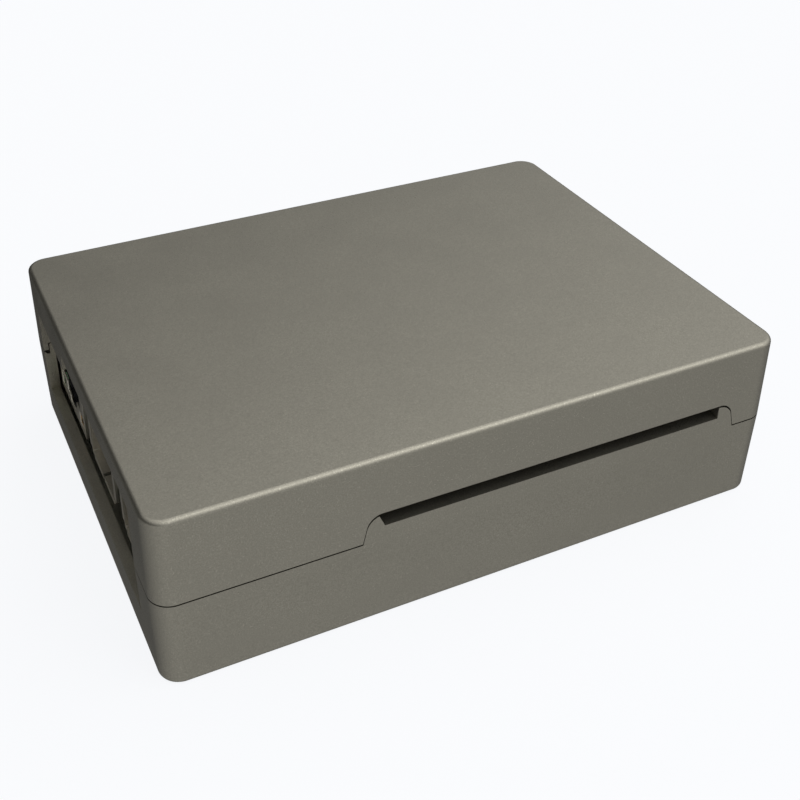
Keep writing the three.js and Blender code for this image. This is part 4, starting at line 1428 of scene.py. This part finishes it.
def dress_node(node: str, finish: Finish) -> None:
    """Gives a frame node that stays in sight its finish.

    Args:
        node: The node.
        finish: The finish.
    """
    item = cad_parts[node]
    item.data.materials.clear()
    item.data.materials.append(finish.material())
    LOG.info("%s keeps its shape, in %s", node, finish.name)


@dataclass
class NetworkSocket:
    """The network socket: folded shield, moulding, eight contacts and two lamps."""

    sheet: float = 0.35
    plug: tuple[float, float, float] = (11.8, 3.7, 10.5)
    latch: tuple[float, float] = (6.2, 1.9)
    latch_tip: tuple[float, float] = (3.4, 0.9)
    contact_pitch: float = 1.02
    contact_count: int = 8

    def __post_init__(self) -> None:
        """Reads the socket's place from the frame."""
        self.low, self.high = node_box("network_socket_shield")
        self.middle = (self.low.y + self.high.y) / 2
        self.board_top = node_box("circuit_board")[1].z
        self.lamps = {node: node_box(node) for node in ("network_link_lamp", "network_traffic_lamp")}

    def _opening(self) -> list[Workpiece]:
        """The cuts for the plug, its latch and the two lamps in the shield's front."""
        front, top = self.low.x, self.board_top
        steps = [(self.plug[0], self.plug[1], self.plug[2]),
                 (self.latch[0], self.latch[1], self.plug[1] + 1),
                 (self.latch_tip[0], self.latch_tip[1], self.latch[1] + 1)]
        cuts = [Workpiece.slab("plug_step", (front, self.middle), (2, width), (top + low, top + high))
                for width, low, high in steps]
        for low, high in self.lamps.values():
            cuts.append(Workpiece.block("lamp_window", (front - 1, low.y - 0.1, low.z - 0.1),
                                        (front + 1, high.y + 0.1, high.z + 0.1)))
        return cuts

    def shield(self) -> Workpiece:
        """The shield, folded from one sheet, with spring windows on its sides and top."""
        sheet = self.sheet
        shield = Workpiece.block("network_shield", self.low, self.high)
        shield.bevel(lambda a, b: along_x(a, b) and min(a.z, b.z) > self.high.z - TINY, 0.5, 4)
        inside = Workpiece.block("inside", (self.low.x + sheet, self.low.y + sheet, self.low.z - 2),
                                 (self.high.x - sheet, self.high.y - sheet, self.high.z - sheet))
        shield.cut(inside, *self._opening())
        for offset in (-3.6, 3.6):
            shield.cut(Workpiece.slab("window", (self.low.x + 5.5, self.middle + offset), (5.6, 2.2),
                                      (self.high.z - 1, self.high.z + 1)))
        shield.cut(Workpiece.block("window", (self.low.x + 3, self.low.y - 1, self.high.z - 5.4),
                                   (self.low.x + 8.6, self.high.y + 1, self.high.z - 3.2)))
        return shield.soften(0.06)

    def springs(self) -> Workpiece:
        """The sprung tongues in the shield's windows."""
        springs = []
        for offset in (-3.6, 3.6):
            tongue = Workpiece.slab("tongue", (self.low.x + 5.6, self.middle + offset), (5.0, 1.6),
                                    (self.high.z - 0.3, self.high.z - 0.1))
            springs.append(tongue)
        for wall in (self.low.y + 0.2, self.high.y - 0.2):
            springs.append(Workpiece.slab("tongue", (self.low.x + 5.9, wall), (5.0, 0.18),
                                          (self.high.z - 5.1, self.high.z - 3.5)))
        springs[0].item.name = "network_springs"
        return springs[0].gather(springs[1:]).soften(0.04)

    def contacts(self) -> Workpiece:
        """The eight sprung contact wires, sloping down into the plug's space."""
        start = self.middle - self.contact_pitch * (self.contact_count - 1) / 2
        ceiling = self.board_top + self.plug[2]
        wire = Workpiece.block("wire", (self.low.x + 2.6, start - 0.16, ceiling - 0.5),
                               (self.low.x + 11.4, start + 0.16, ceiling - 0.22))
        wire.bevel(lambda a, b: along_y(a, b), 0.1, 3)
        wire.turn(-13, "Y", (self.low.x + 2.6, 0, ceiling - 0.2))
        wires = [wire.copy("wire", (0, self.contact_pitch * turn, 0))
                 for turn in range(1, self.contact_count)]
        wire.item.name = "network_contacts"
        return wire.gather(wires).smooth()

    def lamp(self, node: str, finish: Finish) -> None:
        """One lamp beside the latch, with a lens that stands out in its window.

        Args:
            node: The frame node that it stands for.
            finish: The lens's finish.
        """
        low, high = self.lamps[node]
        lens = Workpiece.block(f"{node}_lens", low, high)
        lens.bevel(lambda a, b: max(a.x, b.x) < low.x + TINY, 0.35, 5)
        lens.smooth(60).dress(finish, "base", (node,))

    def build(self) -> None:
        """Builds the socket round the moulding, which is kept from the frame."""
        self.shield().dress(SOCKET_STEEL, "base", ("network_socket_shield",))
        self.springs().dress(SPRING_STEEL, "base")
        self.contacts().dress(GOLD, "base")
        self.lamp("network_link_lamp", GREEN_LENS)
        self.lamp("network_traffic_lamp", AMBER_LENS)
        dress_node("network_socket_insert", BLACK_PLASTIC)


# ------------------------------------------------------------------ pin header


@dataclass
class PinHeader:
    """The double row of square pins in their notched strip."""

    columns: int = 20
    rows: int = 2
    pitch: float = 2.54
    pin: float = 0.64
    point: float = 0.45
    strip_height: float = 2.5
    notch: float = 0.5

    def __post_init__(self) -> None:
        """Reads the header's place from the frame."""
        self.low, self.high = node_box("pin_header")

    def strip(self) -> Workpiece:
        """The moulded strip: one cell with cut corners for each column."""
        first = self.low.x + self.pitch / 2
        middle = (self.low.y + self.high.y) / 2
        cell = Workpiece.slab("header_strip", (first, middle), (self.pitch, self.rows * self.pitch),
                              (self.low.z, self.low.z + self.strip_height))
        cell.bevel(upright, self.notch)
        cell.inset(facing((0, 0, 1)), 0.25).inset(facing((0, 0, 1)), 0.05, -0.08)
        cells = [cell.copy("cell", (self.pitch * column, 0, 0)) for column in range(1, self.columns)]
        return cell.gather(cells)

    def pins(self) -> Workpiece:
        """The pins, each drawn to a blunt point."""
        foot = self.low.z + self.strip_height - 0.5
        first = (self.low.x + self.pitch / 2, self.low.y + self.pitch / 2)
        pin = Workpiece.slab("header_pins", first, (self.pin, self.pin), (foot, self.high.z - self.point))
        pin.extrude(facing((0, 0, 1)), (0, 0, self.point), 0.5)
        pins = [pin.copy("pin", (self.pitch * column, self.pitch * row, 0))
                for column in range(self.columns) for row in range(self.rows) if column or row]
        return pin.gather(pins)

    def build(self) -> None:
        """Builds the strip and the pins."""
        self.strip().dress(BLACK_PLASTIC, "base", ("pin_header",))
        self.pins().dress(GOLD, "base")


# ------------------------------------------------------------------ sockets on the +Y edge


@dataclass
class FlatSocket:
    """A flat socket with a folded metal shell, such as the display or the power socket."""

    kind: str
    contact_count: int
    spring: float
    sheet: float = 0.35
    corner: float = 0.28

    def __post_init__(self) -> None:
        """Reads the socket's place from the frame."""
        self.low, self.high = node_box(f"{self.kind}_socket_shell")
        self.tongue_low, self.tongue_high = node_box(f"{self.kind}_socket_tongue")

    def shell(self) -> Workpiece:
        """The shell, with its lower corners drawn in and grip windows in its roof."""
        cut_corner = (self.high.z - self.low.z) * self.corner
        shell = Workpiece.block(f"{self.kind}_shell", self.low, self.high)

        def foot(a: Vector, b: Vector) -> bool:
            """True for the two lower edges that run from back to front."""
            return along_y(a, b) and max(a.z, b.z) < self.low.z + self.sheet + TINY

        def roof(a: Vector, b: Vector) -> bool:
            """True for the two upper edges that run from back to front."""
            return along_y(a, b) and min(a.z, b.z) > self.high.z - self.sheet - TINY

        shell.bevel(foot, cut_corner, 2).bevel(roof, 0.4, 3)
        sheet = Vector((self.sheet, self.sheet, self.sheet))
        start, stop = self.low + sheet, self.high - sheet
        stop.y = self.high.y + 1
        inside = Workpiece.block("inside", start, stop)
        shell.cut(inside.bevel(foot, cut_corner, 2).bevel(roof, 0.2, 3))
        width = self.high.x - self.low.x
        for share in (0.3, 0.7):
            shell.cut(Workpiece.slab("window",
                                     (self.low.x + width * share, self.high.y - self.spring * 0.8),
                                     (width * 0.12, self.spring), (self.high.z - 0.7, self.high.z + 1)))
        return shell.soften(0.06)

    def contacts(self) -> Workpiece:
        """The fine contacts along the tongue's underside."""
        span = (self.tongue_high.x - self.tongue_low.x) * 0.72
        middle = (self.low.x + self.high.x) / 2
        pitch = span / (self.contact_count - 1)
        depth = self.tongue_high.y - self.tongue_low.y
        tongue_bottom = self.low.z + (3.4 - 0.65 if self.kind == "display" else 1.6 - 0.3)
        strip = Workpiece.block(
            f"{self.kind}_contacts",
            (middle - span / 2 - pitch * 0.3, self.tongue_high.y - depth * 0.6, tongue_bottom - 0.07),
            (middle - span / 2 + pitch * 0.3, self.tongue_high.y - 0.5, tongue_bottom + 0.03))
        strip.bevel(lambda a, b: True, 0.02)
        strips = [strip.copy("strip", (pitch * turn, 0, 0)) for turn in range(1, self.contact_count)]
        return strip.gather(strips)

    def build(self) -> None:
        """Builds the shell and contacts round the tongue, which is kept from the frame."""
        self.shell().dress(SOCKET_STEEL, "base", (f"{self.kind}_socket_shell",))
        self.contacts().dress(GOLD, "base")
        dress_node(f"{self.kind}_socket_tongue", BLACK_PLASTIC)


@dataclass
class SoundSocket:
    """The round sound socket: a moulded block with a collar, and contacts in its bore."""

    collar: float = 2.9
    collar_length: float = 2.4
    bore: float = 1.8
    bore_depth: float = 11.0

    def __post_init__(self) -> None:
        """Reads the socket's place from the frame."""
        self.low, self.high = node_box("sound_socket")

    def build(self) -> None:
        """Builds the block, and the plated ring in its mouth."""
        x, z = (self.low.x + self.high.x) / 2, (self.low.z + self.high.z) / 2
        shoulder = self.high.y - self.collar_length
        block = Workpiece.block("sound_block", self.low, (self.high.x, shoulder, self.high.z))
        block.bevel(upright, 0.5, 3)
        collar = Workpiece.rod("collar", (x, shoulder - 1, z), self.collar, self.collar_length + 1,
                               Axis.Y, 40)
        block.join(collar)
        block.cut(Workpiece.rod("bore", (x, self.high.y - self.bore_depth, z), self.bore,
                                self.bore_depth + 1, Axis.Y, 40))
        for side in (-1, 1):
            block.cut(Workpiece.slab("groove", (x + side * 2.2, shoulder - 5), (0.7, 6.5),
                                     (self.high.z - 0.6, self.high.z + 1)))
        block.soften(0.1).dress(BLACK_PLASTIC, "base", ("sound_socket",))
        ring = Workpiece.rod("sound_ring", (x, self.high.y - 1.6, z), self.bore + 0.02, 1.3, Axis.Y, 40)
        ring.cut(Workpiece.rod("ring_bore", (x, self.high.y - 2, z), self.bore - 0.12, 3, Axis.Y, 40))
        ring.soften(0.04).dress(GOLD, "base")


# ------------------------------------------------------------------ ribbon connectors


@dataclass
class RibbonConnector:
    """An upright ribbon connector and the latch that lifts to free its ribbon."""

    kind: str
    slot: tuple[float, float, float] = (0.7, 16.4, 3.0)
    contact_count: int = 15

    def __post_init__(self) -> None:
        """Reads the connector's place from the frame."""
        self.low, self.high = node_box(f"{self.kind}_connector")
        self.latch_low, self.latch_high = node_box(f"{self.kind}_latch")
        self.x = (self.low.x + self.high.x) / 2
        self.y = (self.low.y + self.high.y) / 2

    def body(self) -> Workpiece:
        """The moulding with the ribbon's slot and a step at each end for the latch."""
        width, length, depth = self.slot
        body = Workpiece.block(f"{self.kind}_connector_body", self.low, self.high)
        body.cut(Workpiece.slab("slot", (self.x, self.y), (width, length),
                                (self.high.z - depth, self.high.z + 1)))
        for side in (-1, 1):
            end = self.y + side * (self.high.y - self.low.y) / 2
            body.cut(Workpiece.slab("step", (self.x, end), (1.5, 1.0),
                                    (self.high.z - 1.6, self.high.z + 1)))
        return body.soften(0.08)

    def latch(self) -> Workpiece:
        """The latch bar, with its ears and a finger groove along each side."""
        width, length, _ = self.slot
        bottom = self.high.z + 0.05
        bar = Workpiece.block(f"{self.kind}_latch_bar_piece",
                              (self.latch_low.x, self.latch_low.y, bottom), self.latch_high)
        bar.cut(Workpiece.slab("slot", (self.x, self.y), (width, length),
                               (bottom - 1, self.latch_high.z + 1)))
        ear = (self.latch_high.y - self.latch_low.y - (self.high.y - self.low.y)) / 2 - 0.12
        for side, end in ((1, self.latch_low.y), (-1, self.latch_high.y)):
            bar.join(Workpiece.slab("ear", (self.x, end + side * ear / 2), (1.8, ear),
                                    (self.latch_low.z, bottom + 0.3)))
        for side in (self.latch_low.x, self.latch_high.x):
            bar.cut(Workpiece.slab("groove", (side, self.y), (0.3, length), (bottom + 0.45, bottom + 0.8)))
        return bar.soften(0.07)

    def feet(self) -> Workpiece:
        """The row of tinned feet along one side, and the contact tips inside the slot."""
        _, length, depth = self.slot
        pitch = (length - 1.4) / (self.contact_count - 1)
        start = self.y - pitch * (self.contact_count - 1) / 2
        foot = Workpiece.block(f"{self.kind}_feet", (self.low.x - 0.6, start - 0.15, self.low.z),
                               (self.low.x + 0.2, start + 0.15, self.low.z + 0.15))
        tip = Workpiece.block("tip", (self.x - 0.36, start - 0.15, self.high.z - depth + 0.1),
                              (self.x - 0.22, start + 0.15, self.high.z - 0.5))
        foot.gather([tip.bevel(along_y, 0.05, 2)])
        feet = [foot.copy("foot", (0, pitch * turn, 0)) for turn in range(1, self.contact_count)]
        return foot.gather(feet)

    def build(self) -> None:
        """Builds the body, its feet, and the latch on its own sliding body."""
        self.body().dress(WHITE_PLASTIC, "base", (f"{self.kind}_connector",))
        self.feet().dress(TIN, "base")
        self.latch().dress(BLACK_PLASTIC, f"{self.kind}_latch_bar", (f"{self.kind}_latch",))


# ------------------------------------------------------------------ memory card


@dataclass
class CardHolder:
    """The metal cage under the board and the memory card that slides into it."""

    narrowing: float = 1.2
    narrow_length: float = 6.5
    contact_count: int = 8

    def __post_init__(self) -> None:
        """Reads the cage's and the card's places from the frame."""
        self.low, self.high = node_box("card_socket")
        self.card_low, self.card_high = node_box("memory_card")

    def cage(self) -> Workpiece:
        """The cage, with two windows in its underside."""
        middle = (self.low.y + self.high.y) / 2
        cage = Workpiece.block("card_cage", self.low, self.high).bevel(upright, 0.5, 3)
        half = (self.card_high.y - self.card_low.y) / 2 + 0.12
        cage.cut(Workpiece.block("inside", (self.low.x + 0.35, middle - half, self.card_low.z - 0.06),
                                 (self.high.x + 1, middle + half, self.card_high.z + 0.12)))
        for offset in (-3.4, 3.4):
            cage.cut(Workpiece.slab("window", (self.low.x + 8.5, middle + offset), (4.6, 1.5),
                                    (self.low.z - 1, self.card_low.z)))
        return cage.soften(0.05)

    def card(self) -> Workpiece:
        """The card, with its stepped side and a raised rib for a fingernail."""
        low, high = self.card_low, self.card_high
        card = Workpiece.block("sliding_card", low, high)
        step = Workpiece.block("step", (low.x - 1, low.y - 1, low.z - 1),
                               (low.x + self.narrow_length, low.y + self.narrowing, high.z + 1))
        card.bevel(lambda a, b: upright(a, b) and min(a.x, b.x) > high.x - TINY, 0.6, 4).cut(step)
        card.cut(Workpiece.slab("nail_groove", (high.x - 1.7, (low.y + high.y) / 2), (0.8, 8.6),
                                (low.z - 1, low.z + 0.14)))
        return card.soften(0.06)

    def contacts(self) -> Workpiece:
        """The card's gold contacts, on the face towards the board."""
        low, high = self.card_low, self.card_high
        pitch = 1.1
        start = (low.y + high.y) / 2 + self.narrowing / 2 - pitch * (self.contact_count - 1) / 2
        strip = Workpiece.block("card_contacts", (low.x + 0.7, start - 0.4, high.z - 0.02),
                                (low.x + 3.6, start + 0.4, high.z + 0.01))
        strip.bevel(upright, 0.15, 3)
        strips = [strip.copy("strip", (0, pitch * turn, 0)) for turn in range(1, self.contact_count)]
        return strip.gather(strips)

    def build(self) -> None:
        """Builds the cage on the board and the card on its own sliding body."""
        self.cage().dress(SOCKET_STEEL, "base", ("card_socket",))
        self.card().dress(EPOXY, "card", ("memory_card",))
        self.contacts().dress(GOLD, "card")


# ------------------------------------------------------------------ the stage


@dataclass
class Studio:
    """A pale floor, soft light and the camera."""

    azimuth: float = -25.466
    elevation: float = 29.351
    roll: float = 0.188
    distance: float = 186.48
    slide: tuple[float, float] = (0.343, -17.217)
    lens: float = 54.405
    sensor: float = 36.0
    floor_side: float = 6.0
    floor_drop: float = 0.00005
    shift: tuple[float, float] = (0.025, -0.175)
    floor_colour: Colour = (0.10, 0.10, 0.10)
    floor_glow: Colour = (0.876, 0.886, 0.904)
    sky_colour: Colour = (0.99, 0.99, 1.0)
    sky_level: float = -0.075
    sky_slope: Triple = (0.60, -0.40, 1.30)
    ground_level: float = 0.275
    ground_slope: Triple = (-0.10, -0.31, 0.0)
    least_light: float = 0.02
    horizon: float = 0.15
    lamp_place: Triple = (0.22, -0.30, 0.49)
    lamp_aim: Triple = (0, 0, 0.02)
    lamp_size: float = 0.36
    lamp_power: float = 0.3

    def camera(self) -> None:
        """Places the camera, which looks down on the case's front left corner."""
        az, el, roll = (math.radians(angle) for angle in (self.azimuth, self.elevation, self.roll))
        back = Vector((math.sin(az) * math.cos(el), -math.cos(az) * math.cos(el), math.sin(el)))
        level = (-back).cross(Vector((0, 0, 1))).normalized()
        above = level.cross(-back)
        right = level * math.cos(roll) + above * math.sin(roll)
        up = above * math.cos(roll) - level * math.sin(roll)
        middle = Vector((0, 0, (CAD_BOX[0][2] + CAD_BOX[1][2]) / 2))
        place = middle + (back * self.distance - right * self.slide[0] - up * self.slide[1]) * MM
        bpy.ops.object.camera_add()
        camera = bpy.context.active_object
        axes = Matrix((right, up, back)).transposed().to_4x4()
        camera.matrix_world = Matrix.Translation(place) @ axes
        camera.data.sensor_width = self.sensor
        camera.data.lens = self.lens
        camera.data.shift_x, camera.data.shift_y = self.shift
        camera.data.clip_start = MM
        bpy.context.scene.camera = camera

    def floor(self) -> None:
        """Lays the pale floor, with a faint mottle."""
        deselect_all()
        bpy.ops.mesh.primitive_plane_add(size=self.floor_side, location=(0, 0, -self.floor_drop))
        floor = bpy.context.active_object
        floor.name = "floor"
        recipe = Recipe("studio_floor")
        mottle = recipe.noise(40.0, 2.0)
        floor.data.materials.append(recipe.surface({
            "Base Color": recipe.mix(mottle, shade(self.floor_colour, 0.98), self.floor_colour),
            "Roughness": 0.9,
            "Specular IOR Level": 0.0,
            "Emission Color": self.floor_glow,
            "Emission Strength": 1.0,
        }))
        floor.visible_glossy = False

    def light(self, name: str, place: Triple, aim: Triple, size: float, power: float) -> None:
        """Adds one soft square light.

        Args:
            name: The light's name.
            place: Where it hangs, in metres.
            aim: What it points at, in metres.
            size: Its side in metres.
            power: Its power in watts.
        """
        bpy.ops.object.light_add(type="AREA", location=place)
        light = bpy.context.active_object
        light.name = name
        light.data.energy = power
        light.data.size = size
        light.rotation_euler = (Vector(aim) - Vector(place)).to_track_quat("-Z", "Y").to_euler()

    def _graded(self, tree: bpy.types.NodeTree, level: float, slope: Triple) -> bpy.types.NodeSocket:
        """A brightness that changes evenly with direction, and keeps to at least the least light."""
        coordinates = tree.nodes.new("ShaderNodeTexCoord")
        along = tree.nodes.new("ShaderNodeVectorMath")
        along.operation = "DOT_PRODUCT"
        along.inputs[1].default_value = slope
        tree.links.new(coordinates.outputs["Generated"], along.inputs[0])
        total = tree.nodes.new("ShaderNodeMath")
        total.inputs[1].default_value = level
        tree.links.new(along.outputs["Value"], total.inputs[0])
        bounded = tree.nodes.new("ShaderNodeMath")
        bounded.operation = "MAXIMUM"
        bounded.inputs[1].default_value = self.least_light
        tree.links.new(total.outputs[0], bounded.inputs[0])
        return bounded.outputs[0]

    def sky(self, tree: bpy.types.NodeTree) -> None:
        """Lights the stage from all round: a graded sky, and the sheen of the ground below it.

        Args:
            tree: The world's node tree.
        """
        coordinates = tree.nodes.new("ShaderNodeTexCoord")
        parts = tree.nodes.new("ShaderNodeSeparateXYZ")
        tree.links.new(coordinates.outputs["Generated"], parts.inputs[0])
        horizon = tree.nodes.new("ShaderNodeMapRange")
        horizon.inputs["From Min"].default_value = -self.horizon
        horizon.inputs["From Max"].default_value = self.horizon
        tree.links.new(parts.outputs["Z"], horizon.inputs["Value"])
        blend = tree.nodes.new("ShaderNodeMix")
        tree.links.new(horizon.outputs["Result"], blend.inputs[0])
        tree.links.new(self._graded(tree, self.ground_level, self.ground_slope), blend.inputs[2])
        tree.links.new(self._graded(tree, self.sky_level, self.sky_slope), blend.inputs[3])
        background = tree.nodes["Background"]
        background.inputs["Color"].default_value = (*self.sky_colour, 1.0)
        tree.links.new(blend.outputs[0], background.inputs["Strength"])

    def build(self) -> None:
        """Sets the stage."""
        scene = bpy.context.scene
        scene.view_settings.view_transform = "Standard"
        scene.world = bpy.data.worlds.new("studio")
        scene.world.use_nodes = True
        self.sky(scene.world.node_tree)
        self.camera()
        self.floor()
        self.light("edge_light", self.lamp_place, self.lamp_aim, self.lamp_size, self.lamp_power)


def main() -> None:
    """Builds the stage and the pieces in order."""
    logging.basicConfig(level=logging.INFO, format="%(message)s")
    Studio().build()
    Case().build()
    Board().build()
    for index in (1, 2):
        UsbStack(index).build()
    NetworkSocket().build()
    PinHeader().build()
    FlatSocket("display", 10, 4.0).build()
    FlatSocket("power", 5, 1.8).build()
    SoundSocket().build()
    RibbonConnector("camera").build()
    RibbonConnector("screen").build()
    CardHolder().build()
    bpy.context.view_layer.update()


if __name__ == "__main__":
    main()
